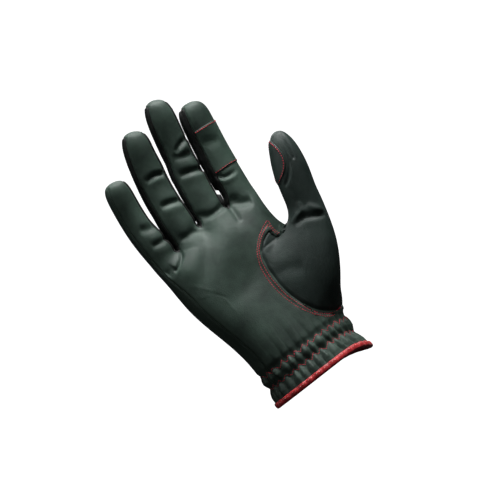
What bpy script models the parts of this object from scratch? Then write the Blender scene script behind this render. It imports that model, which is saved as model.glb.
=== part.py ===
"""A right-hand drummer's glove in thin leather, kept in the shape that a hand gives it.

The origin is the middle of the wrist opening. +Z runs up through the palm to the fingers,
the palm faces -Y, and the thumb is on the +X side. Lengths are in metres.

The whole outer skin is one cage of points that lie on the leather. It is smoothed once, the
cuff is gathered, and then each panel is cut out along its seams and given its thickness.
"""
import math
from collections import namedtuple

import bmesh
import bpy
import numpy as np
from mathutils import Vector
from mathutils.bvhtree import BVHTree

MM = 0.001

# Leather, seams and trim
WALL = 1.2 * MM
SEAM_GAP = 0.4 * MM
PATCH_WALL = 1.0 * MM
PATCH_LIFT = 0.4 * MM
BINDING_WALL = 1.0 * MM
BINDING_GAP = 0.3 * MM
BINDING_HEIGHT = 4.2 * MM
# How much further than WALL the inside may lie at a fold, so that the wall keeps its thickness there.
FOLD_FACTOR = 1.2
# The least share of its full pull that a corner of a seam keeps along each of its two edges.
SEAM_CORNER_PULL = 0.5
SHARP_ANGLE = 50
SHORTEST_WAY = 1e-6

# Palm and back, from the gathered wrist to the finger webs
PALM_LENGTH = 104.0 * MM
PALM_DEPTH = 31.0 * MM
KNUCKLE_GAP = 1.6 * MM
# How far the middle of the four knuckles lies from the middle of the wrist, towards the little finger.
KNUCKLE_SHIFT = 3.4 * MM

# Wrist cuff
CUFF_HEIGHT = 25.5 * MM
WRIST_WIDTH = 73.0 * MM
WRIST_DEPTH = 46.0 * MM
GATHER_DEPTH = 1.1 * MM
GATHER_REACH = 9.0 * MM
LOWER_ROW = 14.0 * MM
UPPER_ROW = 23.0 * MM
# The bound rim: its height, and its width and depth as shares of the wrist's.
CUFF_RIM = BINDING_WALL + BINDING_GAP
RIM_WIDTH = 1.075
RIM_DEPTH = 1.12
# How far the folds stand out from the rim up, as shares of GATHER_DEPTH. The two stitch rows pinch them.
Fold = namedtuple("Fold", "height out")
FOLDS = (
    Fold(CUFF_RIM, 0.0),
    Fold(LOWER_ROW * 0.55, 1.0),
    Fold(LOWER_ROW, 0.55),
    Fold((LOWER_ROW + UPPER_ROW) / 2, 1.0),
    Fold(UPPER_ROW, 0.55),
    Fold(CUFF_HEIGHT + GATHER_REACH, 0.0),
)
# Rings of the smoothed skin above the rim whose columns are doubled for the folds.
GATHER_RINGS = 4

# Thumb, whose root is sewn into a rounded opening of the palm
THUMB_LENGTH = 57.0 * MM
THUMB_WIDTH = 25.0 * MM
THUMB_DEPTH = 23.0 * MM
THUMB_SEAM_HEIGHT = 72.0 * MM
THUMB_PAD_LENGTH = 31.0 * MM
THUMB_PAD_WIDTH = 25.0 * MM

# Pad patch: its middle as a share of the thumb's length, the way it faces in degrees from the palm side
# towards the web, how blunt its ends are and how full its sides.
PAD_CENTRE = 0.655
PAD_ANGLE = 60
PAD_BLUNT = 0.22
PAD_FULLNESS = 0.8
PAD_ROWS, PAD_COLUMNS = 7, 6

# Grip patch: its ends as shares of the index finger's length, its edges in degrees from the palm side,
# and how much further up it goes at its edge as a share of the length.
GRIP_SPAN = (0.333, 0.763)
GRIP_ANGLES = (-48, 84)
GRIP_SLANT = 0.012
GRIP_ROWS, GRIP_COLUMNS = 5, 12

# Fingers: lengths from the web, widths across and depths from palm side to back, as shares of the middle
# finger's. lean is towards the thumb and bend towards the palm, at the root and at the tip, in degrees.
FINGER_LENGTH = 91.0 * MM
FINGER_WIDTH = 22.0 * MM
FINGER_DEPTH = 19.0 * MM


def finger_sizes(length, width, depth, web):
    """A finger's length, width, depth and the height of its web, from their shares."""
    return length * FINGER_LENGTH, width * FINGER_WIDTH, depth * FINGER_DEPTH, web * FINGER_LENGTH


Finger = namedtuple("Finger", "name length width depth web lean tip_lean bend tip_bend")
FINGERS = (
    Finger("little", *finger_sizes(0.757, 0.886, 0.868, -0.055), -6, 6.5, 5, 18),
    Finger("ring", *finger_sizes(0.937, 1.000, 0.974, 0.000), -1.2, 14.5, 4, 18),
    Finger("middle", *finger_sizes(1.000, 1.000, 1.000, 0.033), 6.2, 10, 3, 18),
    Finger("index", *finger_sizes(0.873, 1.068, 1.000, 0.000), 5.6, 8.6, 2, 14),
)

KNUCKLE_WIDTH = sum(f.width for f in FINGERS) + KNUCKLE_GAP * (len(FINGERS) - 1)
WEB_HEIGHT = CUFF_HEIGHT + PALM_LENGTH

# A ring of a finger: along and across are shares of the length and width, and through of the depth.
# crease is how far a fold on the palm side goes in, as a share of the depth.
FingerRing = namedtuple("FingerRing", "along across through crease")
FINGER_RINGS = (
    FingerRing(0.10, 1.00, 1.00, 0.03),
    FingerRing(0.30, 1.00, 0.98, 0.00),
    FingerRing(0.51, 0.98, 0.97, 0.05),
    FingerRing(0.73, 0.96, 0.93, 0.03),
    FingerRing(0.88, 0.92, 0.86, 0.00),
    FingerRing(0.965, 0.68, 0.62, 0.00),
)
# Angles of the eight points round a finger, from the middle of the palm side towards the thumb, in degrees.
FINGER_ANGLES = (-54, 0, 54, 90, 130, 180, 230, 270)
FINGER_ROUNDNESS = 2.35
# A crease goes into the points that face the palm side by more than this share.
CREASE_FRONT = 0.5
# The bend of a finger is spread from its root to this share of its length.
BEND_END = 0.9
CURVE_STEPS = 24
# The ring at the knuckles: width at the hand's two sides and depth in front as shares of a finger's,
# and between two fingers the depth and how far the middle of the web stands up, as shares of the depth.
KNUCKLE_SIDE = 1.04
KNUCKLE_FRONT = 1.02
WEB_DEPTH = 0.9
WEB_RISE = 0.12

# A section of the palm: height is a share of PALM_LENGTH, left and right of the knuckles' width,
# front and back of PALM_DEPTH, and hollow is how much flatter the middle of the palm is.
PalmSection = namedtuple("PalmSection", "height left right front back hollow")
PALM_SECTIONS = (
    PalmSection(0.00, 0.387, 0.405, 0.70, 0.70, 0.00),
    PalmSection(0.15, 0.405, 0.440, 0.66, 0.62, 0.03),
    PalmSection(0.32, 0.445, 0.440, 0.62, 0.55, 0.08),
    PalmSection(0.46, 0.486, 0.436, 0.58, 0.50, 0.12),
    PalmSection(0.60, 0.516, 0.445, 0.54, 0.47, 0.12),
    PalmSection(0.72, 0.526, 0.470, 0.51, 0.45, 0.08),
    PalmSection(0.86, 0.530, 0.462, 0.49, 0.43, 0.03),
)
PALM_ROUNDNESS = 2.6
# How far across the palm its hollow is spread, and the furthest share of the half width that has a depth.
HOLLOW_SPREAD = 2.2
WIDEST_SHARE = 0.995
# Places of the nine front columns between the two sides at the wrist, as shares of the width.
WRIST_COLUMNS = (0.045, 0.15, 0.26, 0.38, 0.50, 0.62, 0.74, 0.85, 0.955)
# The back columns follow the same shares from the thumb's side back to the little finger's.
SIDE_COLUMN = len(WRIST_COLUMNS)
COLUMNS = 2 * SIDE_COLUMN + 2
LITTLE_COLUMN = COLUMNS - 1

# The thumb's opening, from the side of the wrist round the front to the thumb web: row and column
# of the cage, across as a share of half the knuckles' width, and up as a share of THUMB_SEAM_HEIGHT
# above the opening's foot.
SeamPoint = namedtuple("SeamPoint", "row column across up")
THUMB_SEAM = (
    SeamPoint(2, 9, 0.915, 0.065),
    SeamPoint(2, 8, 0.690, 0.055),
    SeamPoint(2, 7, 0.490, 0.115),
    SeamPoint(2, 6, 0.355, 0.205),
    SeamPoint(2, 5, 0.255, 0.315),
    SeamPoint(3, 5, 0.215, 0.445),
    SeamPoint(4, 5, 0.195, 0.580),
    SeamPoint(5, 5, 0.195, 0.720),
    SeamPoint(6, 5, 0.255, 0.865),
    SeamPoint(6, 6, 0.415, 0.965),
    SeamPoint(6, 7, 0.605, 1.005),
    SeamPoint(6, 8, 0.805, 0.968),
    SeamPoint(6, 9, 0.955, 0.920),
)
THUMB_SEAM_FOOT = 2.5 * MM
# How far in front of the hand's middle the opening's two corners on its side lie.
SEAM_CORNER = 0.10
# The same opening along the hand's side: row, across and up as above, and back as a share of PALM_DEPTH.
SeamSide = namedtuple("SeamSide", "row across up back")
THUMB_SIDE = (
    SeamSide(5, 0.900, 0.70, 0.14),
    SeamSide(4, 0.900, 0.47, 0.20),
    SeamSide(3, 0.915, 0.24, 0.16),
)
HOLE_ROWS = range(2, 6)
HOLE_COLUMNS = range(5, 9)
PALM_ROWS = 8
# Heights of the palm's rows 2 to 7 above the gathers, as shares of PALM_LENGTH.
ROW_HEIGHTS = (0.105, 0.265, 0.415, 0.555, 0.69, 0.84)
FIRST_PALM_ROW = 2
# The front columns beside the opening share the way to its first column, the outermost a little further in.
SEAM_COLUMN = 5
COLUMN_LEAD = 0.4
# Back columns over which a row comes back to its own height behind the opening.
LEVEL_COLUMNS = 6
# Steps that bring the cage closer to the points that the leather should go through.
SOLVE_STEPS = 2

# A ring of the thumb above its root: along, across and through as for the fingers.
ThumbRing = namedtuple("ThumbRing", "along across through")
THUMB_RINGS = (
    ThumbRing(0.00, 1.04, 1.10),
    ThumbRing(0.22, 0.98, 1.02),
    ThumbRing(0.45, 0.99, 0.98),
    ThumbRing(0.68, 0.88, 0.88),
    ThumbRing(0.86, 0.66, 0.68),
    ThumbRing(0.96, 0.38, 0.40),
)
THUMB_POINTS = 16
# The point round the thumb that faces the palm side.
THUMB_FRONT_POINT = 6
# Lean and bend at the root and the tip as for the fingers, how far the thumb is turned to face them,
# and its root: across as a share of the knuckles' width, up of PALM_LENGTH, and forward of PALM_DEPTH.
THUMB_LEAN = (13.0, 18.0)
THUMB_BEND = (14.0, 6.0)
THUMB_TURN = 24.0
THUMB_ROOT = (0.652, 0.70, 0.50)
# Rings of the ball of the thumb, between the opening and the thumb's root: share of the way,
# how much narrower than the opening, and how far it bulges as a share of THUMB_DEPTH.
ThenarRing = namedtuple("ThenarRing", "way size bulge")
THENAR_RINGS = (ThenarRing(0.14, 0.78, 0.50), ThenarRing(0.50, 0.63, 0.59))
# The point round the thumb where the ball bulges most, and the way that it faces to the side and the front.
THENAR_MIDDLE = 2.6
THENAR_FACING = (0.8, -0.6)

# Colour and roughness of each piece.
LOOKS = {
    "palm_panel": ((0.036, 0.053, 0.046), 0.45),
    "back_panel": ((0.026, 0.034, 0.031), 0.50),
    "fourchette_little_ring": ((0.010, 0.013, 0.012), 0.60),
    "fourchette_ring_middle": ((0.010, 0.013, 0.012), 0.60),
    "fourchette_middle_index": ((0.010, 0.013, 0.012), 0.60),
    "thumb_panel": ((0.013, 0.019, 0.018), 0.45),
    "index_grip_patch": ((0.038, 0.055, 0.048), 0.45),
    "thumb_pad_patch": ((0.014, 0.020, 0.019), 0.45),
    "wrist_binding": ((0.440, 0.016, 0.018), 0.65),
}


def smooth(low, high, value):
    """0 below low, 1 above high, and an even slope between them."""
    t = min(1.0, max(0.0, (value - low) / (high - low)))
    return t * t * (3.0 - 2.0 * t)


def rounded(angle, power):
    """A point of a rounded square of half side 1, at an angle in radians from its front."""
    s, c = math.sin(angle), math.cos(angle)
    side = math.copysign(abs(s) ** (2.0 / power), s)
    front = math.copysign(abs(c) ** (2.0 / power), c)
    return side, front


def between(rows, value, key, field):
    """The value of a field, read straight between the rows of a table."""
    keys = [getattr(row, key) for row in rows]
    return float(np.interp(value, keys, [getattr(row, field) for row in rows]))


def finger_roots():
    """The middle of each finger at its web, side by side with a small gap between them."""
    places = [0.0]
    for one, two in zip(FINGERS, FINGERS[1:]):
        places.append(places[-1] + (one.width + two.width) / 2 + KNUCKLE_GAP)
    middle = (places[0] - FINGERS[0].width / 2 + places[-1] + FINGERS[-1].width / 2) / 2
    return [x - middle - KNUCKLE_SHIFT for x in places]


def opposite(column):
    """The back column behind a front one, or the front column before a back one."""
    return 2 * SIDE_COLUMN - column


def hand_panel(column):
    """The panel that the face after a column belongs to."""
    return "palm_panel" if column < SIDE_COLUMN else "back_panel"


class Skin:
    """Points on the leather, the faces between them and the panel of each face."""

    def __init__(self):
        self.points = []
        self.faces = []
        self.panels = []

    def add(self, point):
        self.points.append(Vector(point))
        return len(self.points) - 1

    def face(self, corners, panel):
        self.faces.append(corners)
        self.panels.append(panel)


def bent_line(place, length, leans, bends, shares):
    """Walks up a bent middle line: its end, and there the ways along it, across it and to the palm side.

    leans and bends are at its root and its tip, and shares are how much of the change each step has.
    """
    for i, share in enumerate(shares):
        lean = math.radians(leans[0] + (leans[1] - leans[0]) * share)
        bend = math.radians(bends[0] + (bends[1] - bends[0]) * share)
        way = Vector((math.sin(lean) * math.cos(bend), -math.sin(bend), math.cos(lean) * math.cos(bend)))
        if i < len(shares) - 1:
            place = place + way * (length / (len(shares) - 1))
    across = Vector((math.cos(lean), 0.0, -math.sin(lean)))
    return place, way, across, across.cross(way).normalized()


def finger_frame(finger, root, along):
    """Middle, across and palm-side directions at a share of a finger's length."""
    shares = [smooth(0.0, BEND_END, along * i / CURVE_STEPS) for i in range(CURVE_STEPS + 1)]
    place, _, across, front = bent_line(
        Vector((root, 0.0, WEB_HEIGHT + finger.web)),
        finger.length * along,
        (finger.lean, finger.tip_lean),
        (finger.bend, finger.tip_bend),
        shares,
    )
    return place, across, front


def finger_point(finger, root, along, angle, across_share, through_share, crease):
    place, across, front = finger_frame(finger, root, along)
    side, forward = rounded(math.radians(angle), FINGER_ROUNDNESS)
    through = finger.depth / 2 * through_share * forward
    if forward > CREASE_FRONT:
        through -= finger.depth * crease
    return place + across * (finger.width / 2 * across_share * side) + front * through


def palm_edges(height):
    """Left and right sides and the front and back depths at a height above the gathers."""
    share = height / PALM_LENGTH
    left = -between(PALM_SECTIONS, share, "height", "left") * KNUCKLE_WIDTH
    right = between(PALM_SECTIONS, share, "height", "right") * KNUCKLE_WIDTH
    front = between(PALM_SECTIONS, share, "height", "front") * PALM_DEPTH
    back = between(PALM_SECTIONS, share, "height", "back") * PALM_DEPTH
    hollow = between(PALM_SECTIONS, share, "height", "hollow")
    return left, right, front, back, hollow


def palm_point(x, z, side):
    """The point of the palm's front (side -1) or back (side 1) at x and z."""
    left, right, front, back, hollow = palm_edges(z - CUFF_HEIGHT)
    u = max(-WIDEST_SHARE, min(WIDEST_SHARE, (2 * x - left - right) / (right - left)))
    profile = (1 - abs(u) ** PALM_ROUNDNESS) ** (1 / PALM_ROUNDNESS)
    depth = front * (1 - hollow * math.exp(-(u * HOLLOW_SPREAD) ** 2)) if side < 0 else back
    return Vector((x, side * depth * profile, z))


def wrist_point(share_round, height, width, depth):
    """A point of an oval wrist section; share_round 0 is the little finger's side, and 0.25 the front."""
    angle = 2 * math.pi * share_round
    return Vector((-math.cos(angle) * width / 2, -math.sin(angle) * depth / 2, height))


def column_round(column):
    """How far round the wrist a column is, from the little finger's side by the front."""
    if column == LITTLE_COLUMN:
        return 0.0
    if column == SIDE_COLUMN:
        return 0.5
    if column < SIDE_COLUMN:
        return math.acos(1 - 2 * WRIST_COLUMNS[column]) / (2 * math.pi)
    return 1.0 - math.acos(1 - 2 * WRIST_COLUMNS[opposite(column)]) / (2 * math.pi)


def seam_place(seam):
    """x and z of a point of the thumb's seam."""
    x = seam.across * KNUCKLE_WIDTH / 2
    return x, CUFF_HEIGHT + THUMB_SEAM_FOOT + seam.up * THUMB_SEAM_HEIGHT


def knuckle_ring(skin):
    """The last ring of the palm, which is the first of the fingers, and the points in the webs."""
    roots = finger_roots()
    ring = {}
    for i, (finger, root) in enumerate(zip(FINGERS, roots)):
        ring[2 * i + 1] = finger_point(finger, root, 0.0, 0, 1, KNUCKLE_FRONT, 0)
        ring[opposite(2 * i + 1)] = finger_point(finger, root, 0.0, 180, 1, 1, 0)
    first, last = FINGERS[0], FINGERS[-1]
    for column, angle in ((0, -54), (LITTLE_COLUMN, -90), (opposite(0), -130)):
        ring[column] = finger_point(first, roots[0], 0.0, angle, KNUCKLE_SIDE, 1, 0)
    for column, angle in ((SIDE_COLUMN - 1, 54), (SIDE_COLUMN, 90), (SIDE_COLUMN + 1, 130)):
        ring[column] = finger_point(last, roots[-1], 0.0, angle, KNUCKLE_SIDE, 1, 0)
    webs = []
    for i, (one, two) in enumerate(zip(FINGERS, FINGERS[1:])):
        trio = []
        for angle, rise in ((54, 0.0), (90, WEB_RISE), (130, 0.0)):
            a = finger_point(one, roots[i], 0.0, angle, 1, WEB_DEPTH, 0)
            b = finger_point(two, roots[i + 1], 0.0, -angle, 1, WEB_DEPTH, 0)
            trio.append((a + b) / 2 + Vector((0, 0, rise * one.depth)))
        ring[2 * i + 2], middle, ring[opposite(2 * i + 2)] = trio
        webs.append(skin.add(middle))
    return [skin.add(ring[c]) for c in range(COLUMNS)], webs


def palm_rings(skin, knuckles):
    """Rows of the palm from the gathers up, with the rows beside the thumb bent round its opening."""
    wrist = [wrist_point(column_round(c), LOWER_ROW, WRIST_WIDTH, WRIST_DEPTH) for c in range(COLUMNS)]
    top = [skin.points[i] for i in knuckles]
    levels = [palm_row(row, top) for row in range(FIRST_PALM_ROW, PALM_ROWS)]
    midway = [(a + b) / 2 for a, b in zip(wrist, levels[0])]
    rings = []
    for row, level in enumerate([wrist, midway] + levels):
        inside = row in list(HOLE_ROWS)[1:]
        skipped = list(HOLE_COLUMNS)[1:] if inside else []
        rings.append([None if c in skipped else skin.add(level[c]) for c in range(COLUMNS)])
    rings.append(knuckles)
    return rings


def palm_row(row, top):
    """One row round the palm; top is the ring at the knuckles, whose columns it shares."""
    share = ROW_HEIGHTS[row - FIRST_PALM_ROW]
    height = share * PALM_LENGTH
    left, right, *_ = palm_edges(height)
    knuckle_left, knuckle_right = top[LITTLE_COLUMN].x, top[SIDE_COLUMN].x
    points = {LITTLE_COLUMN: Vector((left, 0.0, CUFF_HEIGHT + height))}
    points[SIDE_COLUMN] = Vector((right, 0.0, CUFF_HEIGHT + height))
    for s in THUMB_SEAM:
        if s.row == row:
            x, z = seam_place(s)
            points[s.column] = palm_point(x, z, -1)
            if s.column == SIDE_COLUMN:
                points[s.column].y = -SEAM_CORNER * PALM_DEPTH
    for s in THUMB_SIDE:
        if s.row == row:
            x, z = seam_place(s)
            points[SIDE_COLUMN] = Vector((x, s.back * PALM_DEPTH, z))
    side_height = points[SIDE_COLUMN].z
    for column in range(COLUMNS):
        if column in points or column == SIDE_COLUMN:
            continue
        index = column if column < SIDE_COLUMN else opposite(column)
        knuckle = (top[column].x - knuckle_left) / (knuckle_right - knuckle_left)
        place = WRIST_COLUMNS[index] + (knuckle - WRIST_COLUMNS[index]) * smooth(0.0, 1.0, share)
        x = left + (right - left) * place
        z = CUFF_HEIGHT + height
        if column > SIDE_COLUMN:
            z += (side_height - z) * (1 - smooth(SIDE_COLUMN, SIDE_COLUMN + LEVEL_COLUMNS, column))
        elif SEAM_COLUMN in points:
            seam = points[SEAM_COLUMN]
            x = left + (seam.x - left) * (column + COLUMN_LEAD) / (SEAM_COLUMN + COLUMN_LEAD)
            z += (seam.z - z) * smooth(0, SEAM_COLUMN, column)
        points[column] = palm_point(x, z, -1 if column < SIDE_COLUMN else 1)
    return [points[c] for c in range(COLUMNS)]


def rim_ring(skin):
    """The ring of the cage at the bound rim."""
    width, depth = WRIST_WIDTH * RIM_WIDTH, WRIST_DEPTH * RIM_DEPTH
    return [skin.add(wrist_point(column_round(column), CUFF_RIM, width, depth)) for column in range(COLUMNS)]


def finger_panel(i, k):
    """The panel of the face between points k and k + 1 round finger i."""
    names = [f.name for f in FINGERS]
    if k in (0, 1):
        return "palm_panel"
    if k in (4, 5):
        return "back_panel"
    if k in (2, 3):
        if i < len(FINGERS) - 1:
            return f"fourchette_{names[i]}_{names[i + 1]}"
        return "palm_panel" if k == 2 else "back_panel"
    return f"fourchette_{names[i - 1]}_{names[i]}" if i > 0 else "back_panel"


def add_fingers(skin, knuckles, webs):
    for i, (finger, root) in enumerate(zip(FINGERS, finger_roots())):
        right = webs[i] if i < len(webs) else knuckles[SIDE_COLUMN]
        left = webs[i - 1] if i > 0 else knuckles[LITTLE_COLUMN]
        ring = [knuckles[2 * i], knuckles[2 * i + 1], knuckles[2 * i + 2], right]
        ring += [knuckles[opposite(2 * i + k)] for k in (2, 1, 0)]
        ring.append(left)
        for row in FINGER_RINGS:
            higher = [
                skin.add(finger_point(finger, root, row.along, angle, row.across, row.through, row.crease))
                for angle in FINGER_ANGLES
            ]
            for k in range(8):
                skin.face((ring[k], ring[(k + 1) % 8], higher[(k + 1) % 8], higher[k]), finger_panel(i, k))
            ring = higher
        place, *_ = finger_frame(finger, root, 1.0)
        tip = skin.add(place)
        for k, panel in ((7, "palm_panel"), (1, "palm_panel"), (3, "back_panel"), (5, "back_panel")):
            skin.face((ring[k], ring[(k + 1) % 8], ring[(k + 2) % 8], tip), panel)


def thumb_frame(along):
    """Middle, across and palm-side directions at a share of the thumb's length above its web."""
    right, up, forward = THUMB_ROOT
    root = Vector((right * KNUCKLE_WIDTH, -forward * PALM_DEPTH, CUFF_HEIGHT + up * PALM_LENGTH))
    shares = [along * i / CURVE_STEPS for i in range(CURVE_STEPS + 1)]
    place, _, across, front = bent_line(root, THUMB_LENGTH * along, THUMB_LEAN, THUMB_BEND, shares)
    turn = math.radians(THUMB_TURN)
    turned_across = across * math.cos(turn) + front * math.sin(turn)
    turned_front = front * math.cos(turn) - across * math.sin(turn)
    return place, turned_across, turned_front


def thumb_ring(row):
    """Points round the thumb; the first is on its outer side, and they go by the front to the web side."""
    place, across, front = thumb_frame(row.along)
    points = []
    for k in range(THUMB_POINTS):
        angle = 2 * math.pi * (k - THUMB_FRONT_POINT) / THUMB_POINTS
        side, forward = rounded(angle, FINGER_ROUNDNESS)
        points.append(
            place
            - across * (THUMB_WIDTH / 2 * row.across * side)
            + front * (THUMB_DEPTH / 2 * row.through * forward)
        )
    return points


def thenar_level(row, base, first):
    """A ring of the ball of the thumb, between the opening's points and the thumb's first ring."""
    centre = sum(base, Vector((0, 0, 0))) / len(base)
    outward = Vector((*THENAR_FACING, 0)).normalized()
    level = []
    for k, (a, b) in enumerate(zip(base, first)):
        offset = a - centre
        raised = outward * offset.dot(outward)
        narrowed = centre + raised + (offset - raised) * row.size
        swell = 0.5 + 0.5 * math.cos(2 * math.pi * (k - THENAR_MIDDLE) / THUMB_POINTS)
        level.append(narrowed.lerp(b, row.way) + outward * (row.bulge * THUMB_DEPTH * swell))
    return level


def add_thumb(skin, rings):
    """The thumb piece: from its opening in the palm through the ball of the thumb to the tip."""
    opening = [(s.row, s.column) for s in THUMB_SEAM] + [(s.row, SIDE_COLUMN) for s in THUMB_SIDE]
    ring = [rings[row][column] for row, column in opening]
    base = [skin.points[i] for i in ring]
    first = thumb_ring(THUMB_RINGS[0])
    levels = [thenar_level(row, base, first) for row in THENAR_RINGS]
    levels += [thumb_ring(row) for row in THUMB_RINGS]
    for level in levels:
        higher = [skin.add(p) for p in level]
        for k in range(THUMB_POINTS):
            after = (k + 1) % THUMB_POINTS
            skin.face((ring[k], ring[after], higher[after], higher[k]), "thumb_panel")
        ring = higher
    tip = skin.add(thumb_frame(1.0)[0])
    for k in range(0, THUMB_POINTS, 2):
        skin.face((ring[k], ring[k + 1], ring[(k + 2) % THUMB_POINTS], tip), "thumb_panel")


def glove_skin():
    """The cage: points that the smoothed leather goes through."""
    skin = Skin()
    knuckles, webs = knuckle_ring(skin)
    rings = palm_rings(skin, knuckles)
    rim = rim_ring(skin)
    for row, (one, two) in enumerate(zip([rim] + rings, rings), start=-1):
        for column in range(COLUMNS):
            if row in HOLE_ROWS and column in HOLE_COLUMNS:
                continue
            after = (column + 1) % COLUMNS
            skin.face((one[column], one[after], two[after], two[column]), hand_panel(column))
    add_fingers(skin, knuckles, webs)
    add_thumb(skin, rings)
    return skin


def limit_rows(count, faces):
    """For each point, the weights that give its place on the smoothed surface."""
    weights = np.zeros((count, count))
    edges = {}
    for corners in faces:
        for k in range(4):
            edge = frozenset((corners[k], corners[(k + 1) % 4]))
            edges[edge] = edges.get(edge, 0) + 1
    neighbours = {i: set() for i in range(count)}
    rim = {i: set() for i in range(count)}
    for edge, uses in edges.items():
        a, b = edge
        neighbours[a].add(b)
        neighbours[b].add(a)
        if uses == 1:
            rim[a].add(b)
            rim[b].add(a)
    for i in range(count):
        if rim[i]:
            weights[i, i] = 4 / 6
            for j in rim[i]:
                weights[i, j] = 1 / 6
            continue
        n = len(neighbours[i])
        weights[i, i] = n * n
        for j in neighbours[i]:
            weights[i, j] += 4
    for corners in faces:
        for k in range(4):
            if not rim[corners[k]]:
                weights[corners[k], corners[(k + 2) % 4]] += 1
    for i in range(count):
        if not rim[i]:
            n = len(neighbours[i])
            weights[i] /= n * (n + 5)
    return weights


def cage_through(points, faces):
    """Moves the cage out so that its smoothed surface goes through the points."""
    target = np.array([tuple(p) for p in points])
    weights = limit_rows(len(points), faces)
    cage = target.copy()
    for _ in range(SOLVE_STEPS):
        cage += target - weights @ cage
    return cage


def smoothed(skin, levels):
    """The skin subdivided into a bmesh whose faces keep their panel in the material index."""
    names = sorted(set(skin.panels))
    mesh = bpy.data.meshes.new("skin")
    cage = cage_through(skin.points, skin.faces)
    mesh.from_pydata([Vector(p) for p in cage], [], skin.faces)
    for polygon, panel in zip(mesh.polygons, skin.panels):
        polygon.material_index = names.index(panel)
    holder = bpy.data.objects.new("skin", mesh)
    bpy.context.scene.collection.objects.link(holder)
    for name in names:
        mesh.materials.append(bpy.data.materials.new("panel_" + name))
    modifier = holder.modifiers.new("smooth", "SUBSURF")
    modifier.levels = modifier.render_levels = levels
    graph = bpy.context.evaluated_depsgraph_get()
    fine = bpy.data.meshes.new_from_object(holder.evaluated_get(graph))
    bm = bmesh.new()
    bm.from_mesh(fine)
    for name in names:
        bpy.data.materials.remove(bpy.data.materials["panel_" + name])
    bpy.data.objects.remove(holder)
    bpy.data.meshes.remove(mesh)
    bpy.data.meshes.remove(fine)
    bmesh.ops.recalc_face_normals(bm, faces=bm.faces)
    bm.normal_update()
    return bm, names


def cuff_levels(bm):
    """Rings of vertices from the rim up, each in the rim's order round the wrist."""
    rim = [v for v in bm.verts if v.is_boundary]
    rim.sort(key=lambda v: math.atan2(-v.co.y, -v.co.x) % (2 * math.pi))
    levels = [rim]
    seen = set(rim)
    for _ in range(GATHER_RINGS):
        higher = []
        for vertex in levels[-1]:
            fresh = [e.other_vert(vertex) for e in vertex.link_edges if e.other_vert(vertex) not in seen]
            higher.append(max(fresh, key=lambda v: v.co.z))
        levels.append(higher)
        seen.update(higher)
    return levels


def wrist_outward(place):
    """The level way out of the wrist's oval at a place."""
    return Vector((place.x / WRIST_WIDTH ** 2, place.y / WRIST_DEPTH ** 2, 0)).normalized()


def gather_cuff(bm):
    """Doubles the columns of the cuff and folds them in and out.

    Returns the columns that stand out, each as its rim point, its outward direction and the
    slope of the skin above it, which the binding follows.
    """
    levels = cuff_levels(bm)
    columns = []
    for rim, above in zip(levels[0], levels[1]):
        columns.append((rim.co.copy(), wrist_outward(rim.co), (above.co - rim.co) / (above.co.z - rim.co.z)))
    middles = []
    for ring in levels:
        middles.append([bm.verts.new((a.co + b.co) / 2) for a, b in zip(ring, ring[1:] + ring[:1])])
    doubled = {}
    for ring, middle in zip(levels, middles):
        for i, vertex in enumerate(middle):
            doubled[frozenset((ring[i], ring[(i + 1) % len(ring)]))] = vertex
    old_faces = {f for ring in levels for v in ring for f in v.link_faces}
    for face in sorted(old_faces, key=lambda f: f.index):
        halve_face(bm, face, doubled)
    for edge in [e for e in bm.edges if not e.link_faces]:
        bm.edges.remove(edge)
    for group, sign in ((levels, 1), (middles, -1)):
        for vertex in (v for ring in group for v in ring):
            vertex.co += wrist_outward(vertex.co) * (sign * gather_fold(vertex.co.z))
    bm.normal_update()
    return columns


def halve_face(bm, face, doubled):
    """Replaces a face by its halves, or by one with the extra corner where only one edge is doubled."""
    corners = list(face.verts)
    extra = {}
    for k, corner in enumerate(corners):
        edge = frozenset((corner, corners[(k + 1) % 4]))
        if edge in doubled:
            extra[k] = doubled[edge]
    panel = face.material_index
    if len(extra) == 2:
        k = min(extra)
        a, b, c, d = corners[k:] + corners[:k]
        halves = ((a, extra[k], extra[k + 2], d), (extra[k], b, c, extra[k + 2]))
    elif extra:
        (k, middle), = extra.items()
        halves = (corners[:k + 1] + [middle] + corners[k + 1:],)
    else:
        return
    bm.faces.remove(face)
    for half in halves:
        bm.faces.new(half).material_index = panel


def gather_fold(height):
    """How far a fold stands out at a height."""
    return GATHER_DEPTH * between(FOLDS, height, "height", "out")


def seam_pull(vertex, panel):
    """The way from a seam into the panel, in the skin, and how far to go for half the seam's gap."""
    ways = []
    for edge in vertex.link_edges:
        mine = [f for f in edge.link_faces if f.material_index == panel]
        if len(mine) != 1 or len(edge.link_faces) < 2:
            continue
        along = (edge.verts[1].co - edge.verts[0].co).normalized()
        inward = mine[0].calc_center_median() - (edge.verts[0].co + edge.verts[1].co) / 2
        inward -= along * inward.dot(along)
        ways.append(inward.normalized())
    if not ways:
        return Vector((0, 0, 0))
    way = sum(ways, Vector((0, 0, 0)))
    if way.length < SHORTEST_WAY:
        return Vector((0, 0, 0))
    way.normalize()
    return way * (SEAM_GAP / 2 / max(SEAM_CORNER_PULL, min(w.dot(way) for w in ways)))


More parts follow.
